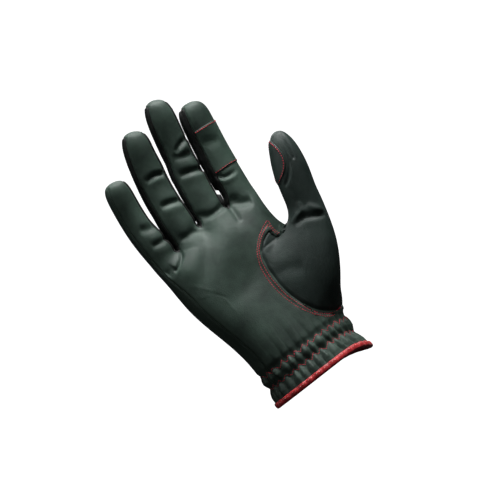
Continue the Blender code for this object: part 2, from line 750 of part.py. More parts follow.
def panel_object(bm, panel, name):
    """One panel of the skin, cut back along its seams, with its wall on the inside."""
    faces = [f for f in bm.faces if f.material_index == panel]
    used = {v for f in faces for v in f.verts}
    outer, inner = {}, {}
    solid = bmesh.new()
    for vertex in sorted(used, key=lambda v: v.index):
        place = vertex.co + seam_pull(vertex, panel)
        normal = wrist_outward(vertex.co) if vertex.is_boundary else vertex.normal
        thick = WALL * min(FOLD_FACTOR, vertex.calc_shell_factor())
        outer[vertex] = solid.verts.new(place)
        inner[vertex] = solid.verts.new(place - normal * thick)
    for face in faces:
        solid.faces.new([outer[v] for v in face.verts])
        solid.faces.new([inner[v] for v in reversed(face.verts)])
    for face in faces:
        for loop in face.loops:
            if all(f.material_index != panel for f in loop.edge.link_faces if f is not face):
                a, b = loop.vert, loop.link_loop_next.vert
                solid.faces.new((outer[b], outer[a], inner[a], inner[b]))
    return finished(solid, name)


def finished(bm, name):
    """Makes the object, with all its faces outward and its edges soft."""
    bmesh.ops.recalc_face_normals(bm, faces=bm.faces)
    mesh = bpy.data.meshes.new(name)
    bm.to_mesh(mesh)
    bm.free()
    mesh.shade_smooth()
    mesh.set_sharp_from_angle(angle=math.radians(SHARP_ANGLE))
    piece = bpy.data.objects.new(name, mesh)
    bpy.context.scene.collection.objects.link(piece)
    mesh.materials.append(material(name, *LOOKS[name]))
    return piece


def material(name, colour, roughness):
    made = bpy.data.materials.new(name)
    made.use_nodes = True
    shader = made.node_tree.nodes["Principled BSDF"]
    shader.inputs["Base Color"].default_value = (*colour, 1)
    shader.inputs["Roughness"].default_value = roughness
    shader.inputs["Metallic"].default_value = 0.0
    return made


def layered_patch(name, rows):
    """A second layer on the skin: rows of points and outward directions, made into a closed sheet."""
    solid = bmesh.new()
    sheets = []
    for lift in (PATCH_LIFT + PATCH_WALL, PATCH_LIFT):
        sheets.append([[solid.verts.new(p + n * lift) for p, n in row] for row in rows])
    outer, inner = sheets
    last_row, last_column = len(rows) - 1, len(rows[0]) - 1
    for i in range(last_row):
        for j in range(last_column):
            solid.faces.new((outer[i][j], outer[i][j + 1], outer[i + 1][j + 1], outer[i + 1][j]))
            solid.faces.new((inner[i + 1][j], inner[i + 1][j + 1], inner[i][j + 1], inner[i][j]))
    edge = [(0, j) for j in range(last_column)] + [(i, last_column) for i in range(last_row)]
    edge += [(last_row, j) for j in range(last_column, 0, -1)] + [(i, 0) for i in range(last_row, 0, -1)]
    for (i, j), (k, m) in zip(edge, edge[1:] + edge[:1]):
        solid.faces.new((outer[k][m], outer[i][j], inner[i][j], inner[k][m]))
    return finished(solid, name)


def on_skin(tree, place, way):
    """The point of the skin that a ray from inside the glove reaches, and the ray's direction there."""
    hit, _, _, _ = tree.ray_cast(place, way.normalized())
    return hit, way.normalized()


def index_patch(tree):
    """The grip patch round the index finger's palm side, from just below its middle to its tip joint."""
    finger, root = FINGERS[-1], finger_roots()[-1]
    rows = []
    for i in range(GRIP_ROWS + 1):
        row = []
        for j in range(GRIP_COLUMNS + 1):
            angle = GRIP_ANGLES[0] + (GRIP_ANGLES[1] - GRIP_ANGLES[0]) * j / GRIP_COLUMNS
            slant = GRIP_SLANT * math.sin(math.radians(angle))
            along = GRIP_SPAN[0] + (GRIP_SPAN[1] - GRIP_SPAN[0]) * i / GRIP_ROWS + slant
            place, across, front = finger_frame(finger, root, along)
            way = across * math.sin(math.radians(angle)) + front * math.cos(math.radians(angle))
            row.append(on_skin(tree, place, way))
        rows.append(row)
    return layered_patch("index_grip_patch", rows)


def thumb_patch(tree):
    """The almond-shaped patch on the thumb's pad."""
    rows = []
    for i in range(PAD_ROWS + 1):
        t = 2 * i / PAD_ROWS - 1
        half = THUMB_PAD_WIDTH / 2 * max(PAD_BLUNT, (1 - t * t) ** PAD_FULLNESS)
        along = PAD_CENTRE + t * THUMB_PAD_LENGTH / 2 / THUMB_LENGTH
        place, across, front = thumb_frame(along)
        row = []
        for j in range(PAD_COLUMNS + 1):
            turn = (2 * j / PAD_COLUMNS - 1) * half / (THUMB_WIDTH / 2)
            angle = math.radians(PAD_ANGLE) + turn
            way = front * math.cos(angle) - across * math.sin(angle)
            row.append(on_skin(tree, place, way))
        rows.append(row)
    return layered_patch("thumb_pad_patch", rows)


def wrist_binding(columns):
    """The binding folded over the rim, a channel that clears the leather on both sides."""
    clear = BINDING_GAP + gather_fold(BINDING_HEIGHT)
    inside = -WALL * FOLD_FACTOR
    section = (
        (clear + BINDING_WALL, BINDING_HEIGHT),
        (clear, BINDING_HEIGHT),
        (BINDING_GAP, BINDING_WALL),
        (inside - BINDING_GAP, BINDING_WALL),
        (inside - clear, BINDING_HEIGHT),
        (inside - clear - BINDING_WALL, BINDING_HEIGHT),
        (inside - BINDING_GAP - BINDING_WALL, 0.0),
        (BINDING_GAP + BINDING_WALL, 0.0),
    )
    solid = bmesh.new()
    rings = []
    for rim, outward, slope in columns:
        ring = []
        for out, height in section:
            ring.append(solid.verts.new(rim + slope * (height - CUFF_RIM) + outward * out))
        rings.append(ring)
    for one, two in zip(rings, rings[1:] + rings[:1]):
        for k in range(len(section)):
            after = (k + 1) % len(section)
            solid.faces.new((one[k], one[after], two[after], two[k]))
    return finished(solid, "wrist_binding")


def build():
    for item in list(bpy.data.objects):
        bpy.data.objects.remove(item)
    bm, names = smoothed(glove_skin(), 1)
    columns = gather_cuff(bm)
    tree = BVHTree.FromBMesh(bm)
    bm.verts.index_update()
    for panel, name in enumerate(names):
        panel_object(bm, panel, name)
    index_patch(tree)
    thumb_patch(tree)
    wrist_binding(columns)
    bm.free()


build()
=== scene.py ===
"""The looks of a right-hand drummer's glove in thin black leather with red stitching.

The same cage as in the part's source gives the smooth skin. Here it is made fine, creased where
the photo shows folds, gathered at the cuff, and cut into panels that are sewn with red thread.
"""

import math
from collections import namedtuple

import bmesh
import bpy
import numpy as np
from mathutils import Matrix, Vector
from mathutils.bvhtree import BVHTree
from mathutils.kdtree import KDTree


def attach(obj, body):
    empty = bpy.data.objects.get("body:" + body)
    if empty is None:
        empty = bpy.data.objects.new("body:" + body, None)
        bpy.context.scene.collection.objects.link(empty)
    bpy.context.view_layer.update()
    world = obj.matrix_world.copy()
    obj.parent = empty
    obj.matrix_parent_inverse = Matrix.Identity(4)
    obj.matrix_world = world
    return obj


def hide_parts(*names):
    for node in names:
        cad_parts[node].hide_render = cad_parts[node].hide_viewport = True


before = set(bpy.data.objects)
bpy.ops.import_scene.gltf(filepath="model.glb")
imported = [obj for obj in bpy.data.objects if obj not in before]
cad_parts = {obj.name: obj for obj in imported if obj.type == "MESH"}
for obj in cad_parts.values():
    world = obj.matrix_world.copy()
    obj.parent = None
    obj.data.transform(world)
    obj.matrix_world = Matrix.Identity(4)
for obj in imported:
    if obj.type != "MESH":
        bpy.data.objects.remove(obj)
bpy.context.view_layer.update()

MM = 0.001

# The binding at the rim, which sets how far down the leather goes
BINDING_WALL = 1.0 * MM
BINDING_GAP = 0.3 * MM
CUFF_RIM = BINDING_WALL + BINDING_GAP
# Edges of the leather that turn by more than this look sharp, in degrees.
SHARP_ANGLE = 50
# A way shorter than this has no direction, and this is farther than any two points of the glove, in
# metres.
TINY, FAR_AWAY = 1e-12, 1.0

# Palm and back, from the gathered wrist to the finger webs
PALM_LENGTH = 104.0 * MM
PALM_DEPTH = 31.0 * MM
KNUCKLE_GAP = 1.6 * MM
# How far the middle of the four knuckles lies from the middle of the wrist, towards the little finger.
KNUCKLE_SHIFT = 3.4 * MM

# Wrist cuff
CUFF_HEIGHT = 25.5 * MM
WRIST_WIDTH = 73.0 * MM
WRIST_DEPTH = 46.0 * MM
GATHER_REACH = 9.0 * MM
LOWER_ROW = 14.0 * MM
UPPER_ROW = 23.0 * MM
# The bound rim's width and depth as shares of the wrist's
RIM_WIDTH = 1.075
RIM_DEPTH = 1.12

# Thumb, whose root is sewn into a rounded opening of the palm
THUMB_LENGTH = 57.0 * MM
THUMB_WIDTH = 25.0 * MM
THUMB_DEPTH = 23.0 * MM
THUMB_SEAM_HEIGHT = 72.0 * MM
THUMB_PAD_LENGTH = 31.0 * MM
THUMB_PAD_WIDTH = 25.0 * MM

# Pad patch: its middle as a share of the thumb's length, the way it faces in degrees from the palm side
# towards the web, how blunt its ends are and how full its sides.
PAD_CENTRE = 0.655
PAD_ANGLE = 60
PAD_BLUNT = 0.22
PAD_FULLNESS = 0.8

# Grip patch: its ends as shares of the index finger's length, its edges in degrees from the palm side,
# and how much further up it goes at its edge as a share of the length.
GRIP_SPAN = (0.333, 0.763)
GRIP_ANGLES = (-48, 84)
GRIP_SLANT = 0.012

# Fingers: lengths from the web, widths across and depths from palm side to back, as shares of the middle
# finger's. lean is towards the thumb and bend towards the palm, at the root and at the tip, in degrees.
FINGER_LENGTH = 91.0 * MM
FINGER_WIDTH = 22.0 * MM
FINGER_DEPTH = 19.0 * MM


def finger_sizes(length, width, depth, web):
    """A finger's length, width, depth and the height of its web, from their shares."""
    return length * FINGER_LENGTH, width * FINGER_WIDTH, depth * FINGER_DEPTH, web * FINGER_LENGTH


Finger = namedtuple("Finger", "name length width depth web lean tip_lean bend tip_bend")
FINGERS = (
    Finger("little", *finger_sizes(0.757, 0.886, 0.868, -0.055), -6, 6.5, 5, 18),
    Finger("ring", *finger_sizes(0.937, 1.000, 0.974, 0.000), -1.2, 14.5, 4, 18),
    Finger("middle", *finger_sizes(1.000, 1.000, 1.000, 0.033), 6.2, 10, 3, 18),
    Finger("index", *finger_sizes(0.873, 1.068, 1.000, 0.000), 5.6, 8.6, 2, 14),
)

KNUCKLE_WIDTH = sum(f.width for f in FINGERS) + KNUCKLE_GAP * (len(FINGERS) - 1)
WEB_HEIGHT = CUFF_HEIGHT + PALM_LENGTH

# A ring of a finger: along and across are shares of the length and width, and through of the depth.
# crease is how far a fold on the palm side goes in, as a share of the depth.
FingerRing = namedtuple("FingerRing", "along across through crease")
FINGER_RINGS = (
    FingerRing(0.10, 1.00, 1.00, 0.03),
    FingerRing(0.30, 1.00, 0.98, 0.00),
    FingerRing(0.51, 0.98, 0.97, 0.05),
    FingerRing(0.73, 0.96, 0.93, 0.03),
    FingerRing(0.88, 0.92, 0.86, 0.00),
    FingerRing(0.965, 0.68, 0.62, 0.00),
)
# Angles of the eight points round a finger, from the middle of the palm side towards the thumb, in
# degrees.
FINGER_ANGLES = (-54, 0, 54, 90, 130, 180, 230, 270)
FINGER_ROUNDNESS = 2.35
# A crease goes into the points that face the palm side by more than this share.
CREASE_FRONT = 0.5
# The bend of a finger is spread from its root to this share of its length.
BEND_END = 0.9
CURVE_STEPS = 24
# The ring at the knuckles: width at the glove's two sides and depth in front as shares of a finger's,
# and between two fingers the depth and how far the middle of the web stands up, as shares of the depth.
KNUCKLE_SIDE = 1.04
KNUCKLE_FRONT = 1.02
WEB_DEPTH = 0.9
WEB_RISE = 0.12

# A section of the palm: height is a share of PALM_LENGTH, left and right of the knuckles' width,
# front and back of PALM_DEPTH, and hollow is how much flatter the middle of the palm is.
PalmSection = namedtuple("PalmSection", "height left right front back hollow")
PALM_SECTIONS = (
    PalmSection(0.00, 0.387, 0.405, 0.70, 0.70, 0.00),
    PalmSection(0.15, 0.405, 0.440, 0.66, 0.62, 0.03),
    PalmSection(0.32, 0.445, 0.440, 0.62, 0.55, 0.08),
    PalmSection(0.46, 0.486, 0.436, 0.58, 0.50, 0.12),
    PalmSection(0.60, 0.516, 0.445, 0.54, 0.47, 0.12),
    PalmSection(0.72, 0.526, 0.470, 0.51, 0.45, 0.08),
    PalmSection(0.86, 0.530, 0.462, 0.49, 0.43, 0.03),
)
PALM_ROUNDNESS = 2.6
# How far across the palm its hollow is spread, and the furthest share of the half width that has a
# depth.
HOLLOW_SPREAD = 2.2
WIDEST_SHARE = 0.995
# Places of the nine front columns between the two sides at the wrist, as shares of the width.
WRIST_COLUMNS = (0.045, 0.15, 0.26, 0.38, 0.50, 0.62, 0.74, 0.85, 0.955)
# The back columns follow the same shares from the thumb's side back to the little finger's.
SIDE_COLUMN = len(WRIST_COLUMNS)
COLUMNS = 2 * SIDE_COLUMN + 2
LITTLE_COLUMN = COLUMNS - 1

# The thumb's opening, from the side of the wrist round the front to the thumb web: row and column
# of the cage, across as a share of half the knuckles' width, and up as a share of THUMB_SEAM_HEIGHT
# above the opening's foot.
SeamPoint = namedtuple("SeamPoint", "row column across up")
THUMB_SEAM = (
    SeamPoint(2, 9, 0.915, 0.065),
    SeamPoint(2, 8, 0.690, 0.055),
    SeamPoint(2, 7, 0.490, 0.115),
    SeamPoint(2, 6, 0.355, 0.205),
    SeamPoint(2, 5, 0.255, 0.315),
    SeamPoint(3, 5, 0.215, 0.445),
    SeamPoint(4, 5, 0.195, 0.580),
    SeamPoint(5, 5, 0.195, 0.720),
    SeamPoint(6, 5, 0.255, 0.865),
    SeamPoint(6, 6, 0.415, 0.965),
    SeamPoint(6, 7, 0.605, 1.005),
    SeamPoint(6, 8, 0.805, 0.968),
    SeamPoint(6, 9, 0.955, 0.920),
)
THUMB_SEAM_FOOT = 2.5 * MM
# How far in front of the glove's middle the opening's two corners on its side lie.
SEAM_CORNER = 0.10
# The same opening along the glove's side: row, across and up as above, and back as a share of PALM_DEPTH.
SeamSide = namedtuple("SeamSide", "row across up back")
THUMB_SIDE = (
    SeamSide(5, 0.900, 0.70, 0.14),
    SeamSide(4, 0.900, 0.47, 0.20),
    SeamSide(3, 0.915, 0.24, 0.16),
)
HOLE_ROWS = range(2, 6)
HOLE_COLUMNS = range(5, 9)
PALM_ROWS = 8
# Heights of the palm's rows 2 to 7 above the gathers, as shares of PALM_LENGTH.
ROW_HEIGHTS = (0.105, 0.265, 0.415, 0.555, 0.69, 0.84)
FIRST_PALM_ROW = 2
# The front columns beside the opening share the way to its first column, the outermost a little
# further in.
SEAM_COLUMN = 5
COLUMN_LEAD = 0.4
# Back columns over which a row comes back to its own height behind the opening.
LEVEL_COLUMNS = 6
# Steps that bring the cage closer to the points that the leather should go through.
SOLVE_STEPS = 2

# A ring of the thumb above its root: along, across and through as for the fingers.
ThumbRing = namedtuple("ThumbRing", "along across through")
THUMB_RINGS = (
    ThumbRing(0.00, 1.04, 1.10),
    ThumbRing(0.22, 0.98, 1.02),
    ThumbRing(0.45, 0.99, 0.98),
    ThumbRing(0.68, 0.88, 0.88),
    ThumbRing(0.86, 0.66, 0.68),
    ThumbRing(0.96, 0.38, 0.40),
)
THUMB_POINTS = 16
# The point round the thumb that faces the palm side.
THUMB_FRONT_POINT = 6
# Lean and bend at the root and the tip as for the fingers, how far the thumb is turned to face them,
# and its root: across as a share of the knuckles' width, up of PALM_LENGTH, and forward of PALM_DEPTH.
THUMB_LEAN = (13.0, 18.0)
THUMB_BEND = (14.0, 6.0)
THUMB_TURN = 24.0
THUMB_ROOT = (0.652, 0.70, 0.50)
# Rings of the ball of the thumb, between the opening and the thumb's root: share of the way,
# how much narrower than the opening, and how far it bulges as a share of THUMB_DEPTH.
ThenarRing = namedtuple("ThenarRing", "way size bulge")
THENAR_RINGS = (ThenarRing(0.14, 0.78, 0.50), ThenarRing(0.50, 0.63, 0.59))
# The point round the thumb where the ball bulges most, and the way that it faces to the side and the
# front.
THENAR_MIDDLE = 2.6
THENAR_FACING = (0.8, -0.6)


def smooth(low, high, value):
    """0 below low, 1 above high, and an even slope between them."""
    t = min(1.0, max(0.0, (value - low) / (high - low)))
    return t * t * (3.0 - 2.0 * t)


def rounded(angle, power):
    """A point of a rounded square of half side 1, at an angle in radians from its front."""
    s, c = math.sin(angle), math.cos(angle)
    side = math.copysign(abs(s) ** (2.0 / power), s)
    front = math.copysign(abs(c) ** (2.0 / power), c)
    return side, front


def between(rows, value, key, field):
    """The value of a field, read straight between the rows of a table."""
    keys = [getattr(row, key) for row in rows]
    return float(np.interp(value, keys, [getattr(row, field) for row in rows]))


def finger_roots():
    """The middle of each finger at its web, side by side with a small gap between them."""
    places = [0.0]
    for one, two in zip(FINGERS, FINGERS[1:]):
        places.append(places[-1] + (one.width + two.width) / 2 + KNUCKLE_GAP)
    middle = (places[0] - FINGERS[0].width / 2 + places[-1] + FINGERS[-1].width / 2) / 2
    return [x - middle - KNUCKLE_SHIFT for x in places]


def opposite(column):
    """The back column behind a front one, or the front column before a back one."""
    return 2 * SIDE_COLUMN - column


def hand_panel(column):
    """The panel that the face after a column belongs to."""
    return "palm_panel" if column < SIDE_COLUMN else "back_panel"


class Skin:
    """Points on the leather, the faces between them and the panel of each face."""

    def __init__(self):
        self.points = []
        self.faces = []
        self.panels = []

    def add(self, point):
        self.points.append(Vector(point))
        return len(self.points) - 1

    def face(self, corners, panel):
        self.faces.append(corners)
        self.panels.append(panel)


def bent_line(place, length, leans, bends, shares):
    """Walks up a bent middle line: its end, and there the ways along it, across it and to the palm side.

    leans and bends are at its root and its tip, and shares are how much of the change each step has.
    """
    for i, share in enumerate(shares):
        lean = math.radians(leans[0] + (leans[1] - leans[0]) * share)
        bend = math.radians(bends[0] + (bends[1] - bends[0]) * share)
        way = Vector((math.sin(lean) * math.cos(bend), -math.sin(bend), math.cos(lean) * math.cos(bend)))
        if i < len(shares) - 1:
            place = place + way * (length / (len(shares) - 1))
    across = Vector((math.cos(lean), 0.0, -math.sin(lean)))
    return place, way, across, across.cross(way).normalized()


def finger_frame(finger, root, along):
    """Middle, across and palm-side directions at a share of a finger's length."""
    shares = [smooth(0.0, BEND_END, along * i / CURVE_STEPS) for i in range(CURVE_STEPS + 1)]
    place, _, across, front = bent_line(
        Vector((root, 0.0, WEB_HEIGHT + finger.web)),
        finger.length * along,
        (finger.lean, finger.tip_lean),
        (finger.bend, finger.tip_bend),
        shares,
    )
    return place, across, front


def finger_point(finger, root, along, angle, across_share, through_share, crease):
    place, across, front = finger_frame(finger, root, along)
    side, forward = rounded(math.radians(angle), FINGER_ROUNDNESS)
    through = finger.depth / 2 * through_share * forward
    if forward > CREASE_FRONT:
        through -= finger.depth * crease
    return place + across * (finger.width / 2 * across_share * side) + front * through


def palm_edges(height):
    """Left and right sides and the front and back depths at a height above the gathers."""
    share = height / PALM_LENGTH
    left = -between(PALM_SECTIONS, share, "height", "left") * KNUCKLE_WIDTH
    right = between(PALM_SECTIONS, share, "height", "right") * KNUCKLE_WIDTH
    front = between(PALM_SECTIONS, share, "height", "front") * PALM_DEPTH
    back = between(PALM_SECTIONS, share, "height", "back") * PALM_DEPTH
    hollow = between(PALM_SECTIONS, share, "height", "hollow")
    return left, right, front, back, hollow


def palm_point(x, z, side):
    """The point of the palm's front (side -1) or back (side 1) at x and z."""
    left, right, front, back, hollow = palm_edges(z - CUFF_HEIGHT)
    u = max(-WIDEST_SHARE, min(WIDEST_SHARE, (2 * x - left - right) / (right - left)))
    profile = (1 - abs(u) ** PALM_ROUNDNESS) ** (1 / PALM_ROUNDNESS)
    depth = front * (1 - hollow * math.exp(-(u * HOLLOW_SPREAD) ** 2)) if side < 0 else back
    return Vector((x, side * depth * profile, z))


def wrist_point(share_round, height, width, depth):
    """A point of the wrist's oval; share_round 0 is the little finger's side, and 0.25 the front."""
    angle = 2 * math.pi * share_round
    return Vector((-math.cos(angle) * width / 2, -math.sin(angle) * depth / 2, height))


def column_round(column):
    """How far round the wrist a column is, from the little finger's side by the front."""
    if column == LITTLE_COLUMN:
        return 0.0
    if column == SIDE_COLUMN:
        return 0.5
    if column < SIDE_COLUMN:
        return math.acos(1 - 2 * WRIST_COLUMNS[column]) / (2 * math.pi)
    return 1.0 - math.acos(1 - 2 * WRIST_COLUMNS[opposite(column)]) / (2 * math.pi)


def seam_place(seam):
    """x and z of a point of the thumb's seam."""
    x = seam.across * KNUCKLE_WIDTH / 2
    return x, CUFF_HEIGHT + THUMB_SEAM_FOOT + seam.up * THUMB_SEAM_HEIGHT


def knuckle_ring(skin):
    """The last ring of the palm, which is the first of the fingers, and the points in the webs."""
    roots = finger_roots()
    ring = {}
    for i, (finger, root) in enumerate(zip(FINGERS, roots)):
        ring[2 * i + 1] = finger_point(finger, root, 0.0, 0, 1, KNUCKLE_FRONT, 0)
        ring[opposite(2 * i + 1)] = finger_point(finger, root, 0.0, 180, 1, 1, 0)
    first, last = FINGERS[0], FINGERS[-1]
    for column, angle in ((0, -54), (LITTLE_COLUMN, -90), (opposite(0), -130)):
        ring[column] = finger_point(first, roots[0], 0.0, angle, KNUCKLE_SIDE, 1, 0)
    for column, angle in ((SIDE_COLUMN - 1, 54), (SIDE_COLUMN, 90), (SIDE_COLUMN + 1, 130)):
        ring[column] = finger_point(last, roots[-1], 0.0, angle, KNUCKLE_SIDE, 1, 0)
    webs = []
    for i, (one, two) in enumerate(zip(FINGERS, FINGERS[1:])):
        trio = []
        for angle, rise in ((54, 0.0), (90, WEB_RISE), (130, 0.0)):
            a = finger_point(one, roots[i], 0.0, angle, 1, WEB_DEPTH, 0)
            b = finger_point(two, roots[i + 1], 0.0, -angle, 1, WEB_DEPTH, 0)
            trio.append((a + b) / 2 + Vector((0, 0, rise * one.depth)))
        ring[2 * i + 2], middle, ring[opposite(2 * i + 2)] = trio
        webs.append(skin.add(middle))
    return [skin.add(ring[c]) for c in range(COLUMNS)], webs


def palm_rings(skin, knuckles):
    """Rows of the palm from the gathers up, with the rows beside the thumb bent round its opening."""
    wrist = [wrist_point(column_round(c), LOWER_ROW, WRIST_WIDTH, WRIST_DEPTH) for c in range(COLUMNS)]
    top = [skin.points[i] for i in knuckles]
    levels = [palm_row(row, top) for row in range(FIRST_PALM_ROW, PALM_ROWS)]
    midway = [(a + b) / 2 for a, b in zip(wrist, levels[0])]
    rings = []
    for row, level in enumerate([wrist, midway] + levels):
        inside = row in list(HOLE_ROWS)[1:]
        skipped = list(HOLE_COLUMNS)[1:] if inside else []
        rings.append([None if c in skipped else skin.add(level[c]) for c in range(COLUMNS)])
    rings.append(knuckles)
    return rings


def palm_row(row, top):
    """One row round the palm; top is the ring at the knuckles, whose columns it shares."""
    share = ROW_HEIGHTS[row - FIRST_PALM_ROW]
    height = share * PALM_LENGTH
    left, right, *_ = palm_edges(height)
    knuckle_left, knuckle_right = top[LITTLE_COLUMN].x, top[SIDE_COLUMN].x
    points = {LITTLE_COLUMN: Vector((left, 0.0, CUFF_HEIGHT + height))}
    points[SIDE_COLUMN] = Vector((right, 0.0, CUFF_HEIGHT + height))
    for s in THUMB_SEAM:
        if s.row == row:
            x, z = seam_place(s)
            points[s.column] = palm_point(x, z, -1)
            if s.column == SIDE_COLUMN:
                points[s.column].y = -SEAM_CORNER * PALM_DEPTH
    for s in THUMB_SIDE:
        if s.row == row:
            x, z = seam_place(s)
            points[SIDE_COLUMN] = Vector((x, s.back * PALM_DEPTH, z))
    side_height = points[SIDE_COLUMN].z
    for column in range(COLUMNS):
        if column in points or column == SIDE_COLUMN:
            continue
        index = column if column < SIDE_COLUMN else opposite(column)
        knuckle = (top[column].x - knuckle_left) / (knuckle_right - knuckle_left)
        place = WRIST_COLUMNS[index] + (knuckle - WRIST_COLUMNS[index]) * smooth(0.0, 1.0, share)
        x = left + (right - left) * place
        z = CUFF_HEIGHT + height
        if column > SIDE_COLUMN:
            z += (side_height - z) * (1 - smooth(SIDE_COLUMN, SIDE_COLUMN + LEVEL_COLUMNS, column))
        elif SEAM_COLUMN in points:
            seam = points[SEAM_COLUMN]
            x = left + (seam.x - left) * (column + COLUMN_LEAD) / (SEAM_COLUMN + COLUMN_LEAD)
            z += (seam.z - z) * smooth(0, SEAM_COLUMN, column)
        points[column] = palm_point(x, z, -1 if column < SIDE_COLUMN else 1)
    return [points[c] for c in range(COLUMNS)]


def rim_ring(skin):
    """The ring of the cage at the bound rim."""
    width, depth = WRIST_WIDTH * RIM_WIDTH, WRIST_DEPTH * RIM_DEPTH
    return [skin.add(wrist_point(column_round(c), CUFF_RIM, width, depth)) for c in range(COLUMNS)]


def finger_panel(i, k):
    """The panel of the face between points k and k + 1 round finger i."""
    names = [f.name for f in FINGERS]
    if k in (0, 1):
        return "palm_panel"
    if k in (4, 5):
        return "back_panel"
    if k in (2, 3):
        if i < len(FINGERS) - 1:
            return f"fourchette_{names[i]}_{names[i + 1]}"
        return "palm_panel" if k == 2 else "back_panel"
    return f"fourchette_{names[i - 1]}_{names[i]}" if i > 0 else "back_panel"


def add_fingers(skin, knuckles, webs):
    for i, (finger, root) in enumerate(zip(FINGERS, finger_roots())):
        right = webs[i] if i < len(webs) else knuckles[SIDE_COLUMN]
        left = webs[i - 1] if i > 0 else knuckles[LITTLE_COLUMN]
        ring = [knuckles[2 * i], knuckles[2 * i + 1], knuckles[2 * i + 2], right]
        ring += [knuckles[opposite(2 * i + k)] for k in (2, 1, 0)]
        ring.append(left)
        for row in FINGER_RINGS:
            higher = [
                skin.add(finger_point(finger, root, row.along, a, row.across, row.through, row.crease))
                for a in FINGER_ANGLES
            ]
            for k in range(8):
                after = (k + 1) % 8
                skin.face((ring[k], ring[after], higher[after], higher[k]), finger_panel(i, k))
            ring = higher
        place, *_ = finger_frame(finger, root, 1.0)
        tip = skin.add(place)
        for k, panel in ((7, "palm_panel"), (1, "palm_panel"), (3, "back_panel"), (5, "back_panel")):
            skin.face((ring[k], ring[(k + 1) % 8], ring[(k + 2) % 8], tip), panel)


def thumb_frame(along):
    """Middle, across and palm-side directions at a share of the thumb's length above its web."""
    right, up, forward = THUMB_ROOT
    root = Vector((right * KNUCKLE_WIDTH, -forward * PALM_DEPTH, CUFF_HEIGHT + up * PALM_LENGTH))
    shares = [along * i / CURVE_STEPS for i in range(CURVE_STEPS + 1)]
    place, _, across, front = bent_line(root, THUMB_LENGTH * along, THUMB_LEAN, THUMB_BEND, shares)
    turn = math.radians(THUMB_TURN)
    turned_across = across * math.cos(turn) + front * math.sin(turn)
    turned_front = front * math.cos(turn) - across * math.sin(turn)
    return place, turned_across, turned_front


def thumb_ring(row):
    """Points round the thumb, from its outer side by the front to the web side."""
    place, across, front = thumb_frame(row.along)
    points = []
    for k in range(THUMB_POINTS):
        angle = 2 * math.pi * (k - THUMB_FRONT_POINT) / THUMB_POINTS
        side, forward = rounded(angle, FINGER_ROUNDNESS)
        points.append(
            place
            - across * (THUMB_WIDTH / 2 * row.across * side)
            + front * (THUMB_DEPTH / 2 * row.through * forward)
        )
    return points


def thenar_level(row, base, first):
    """A ring of the ball of the thumb, between the opening's points and the thumb's first ring."""
    centre = sum(base, Vector((0, 0, 0))) / len(base)
    outward = Vector((*THENAR_FACING, 0)).normalized()
    level = []
    for k, (a, b) in enumerate(zip(base, first)):
        offset = a - centre
        raised = outward * offset.dot(outward)
        narrowed = centre + raised + (offset - raised) * row.size
        swell = 0.5 + 0.5 * math.cos(2 * math.pi * (k - THENAR_MIDDLE) / THUMB_POINTS)
        level.append(narrowed.lerp(b, row.way) + outward * (row.bulge * THUMB_DEPTH * swell))
    return level


def add_thumb(skin, rings):
    """The thumb piece: from its opening in the palm through the ball of the thumb to the tip."""
    opening = [(s.row, s.column) for s in THUMB_SEAM] + [(s.row, SIDE_COLUMN) for s in THUMB_SIDE]
    ring = [rings[row][column] for row, column in opening]
    base = [skin.points[i] for i in ring]
    first = thumb_ring(THUMB_RINGS[0])
    levels = [thenar_level(row, base, first) for row in THENAR_RINGS]
    levels += [thumb_ring(row) for row in THUMB_RINGS]
    for level in levels:
        higher = [skin.add(p) for p in level]
        for k in range(THUMB_POINTS):
            after = (k + 1) % THUMB_POINTS
            skin.face((ring[k], ring[after], higher[after], higher[k]), "thumb_panel")
        ring = higher
    tip = skin.add(thumb_frame(1.0)[0])
    for k in range(0, THUMB_POINTS, 2):
        skin.face((ring[k], ring[k + 1], ring[(k + 2) % THUMB_POINTS], tip), "thumb_panel")


def glove_skin():
    """The cage: points that the smoothed leather goes through."""
    skin = Skin()
    knuckles, webs = knuckle_ring(skin)
    rings = palm_rings(skin, knuckles)
    rim = rim_ring(skin)
    for row, (one, two) in enumerate(zip([rim] + rings, rings), start=-1):
        for column in range(COLUMNS):
            if row in HOLE_ROWS and column in HOLE_COLUMNS:
                continue
            after = (column + 1) % COLUMNS
            skin.face((one[column], one[after], two[after], two[column]), hand_panel(column))
    add_fingers(skin, knuckles, webs)
    add_thumb(skin, rings)
    return skin


def limit_rows(count, faces):
    """For each point, the weights that give its place on the smoothed surface."""
    weights = np.zeros((count, count))
    edges = {}
    for corners in faces:
        for k in range(4):
            edge = frozenset((corners[k], corners[(k + 1) % 4]))
            edges[edge] = edges.get(edge, 0) + 1
    neighbours = {i: set() for i in range(count)}
    rim = {i: set() for i in range(count)}
    for edge, uses in edges.items():
        a, b = edge
        neighbours[a].add(b)
        neighbours[b].add(a)
        if uses == 1:
            rim[a].add(b)
            rim[b].add(a)
    for i in range(count):
        if rim[i]:
            weights[i, i] = 4 / 6
            for j in rim[i]:
                weights[i, j] = 1 / 6
            continue
        n = len(neighbours[i])
        weights[i, i] = n * n
        for j in neighbours[i]:
            weights[i, j] += 4
    for corners in faces:
        for k in range(4):
            if not rim[corners[k]]:
                weights[corners[k], corners[(k + 2) % 4]] += 1
    for i in range(count):
        if not rim[i]:
            n = len(neighbours[i])
            weights[i] /= n * (n + 5)
    return weights


def cage_through(points, faces):
    """Moves the cage out so that its smoothed surface goes through the points."""
    target = np.array([tuple(p) for p in points])
    weights = limit_rows(len(points), faces)
    cage = target.copy()
    for _ in range(SOLVE_STEPS):
        cage += target - weights @ cage
    return cage


# Fineness of the skin, and the leather's wall and edges in the scene
SKIN_LEVELS = 4
POINTS_PER_SIDE = 2 ** SKIN_LEVELS
LEATHER = 0.9 * MM
SEAM_CLEARANCE = 0.05 * MM

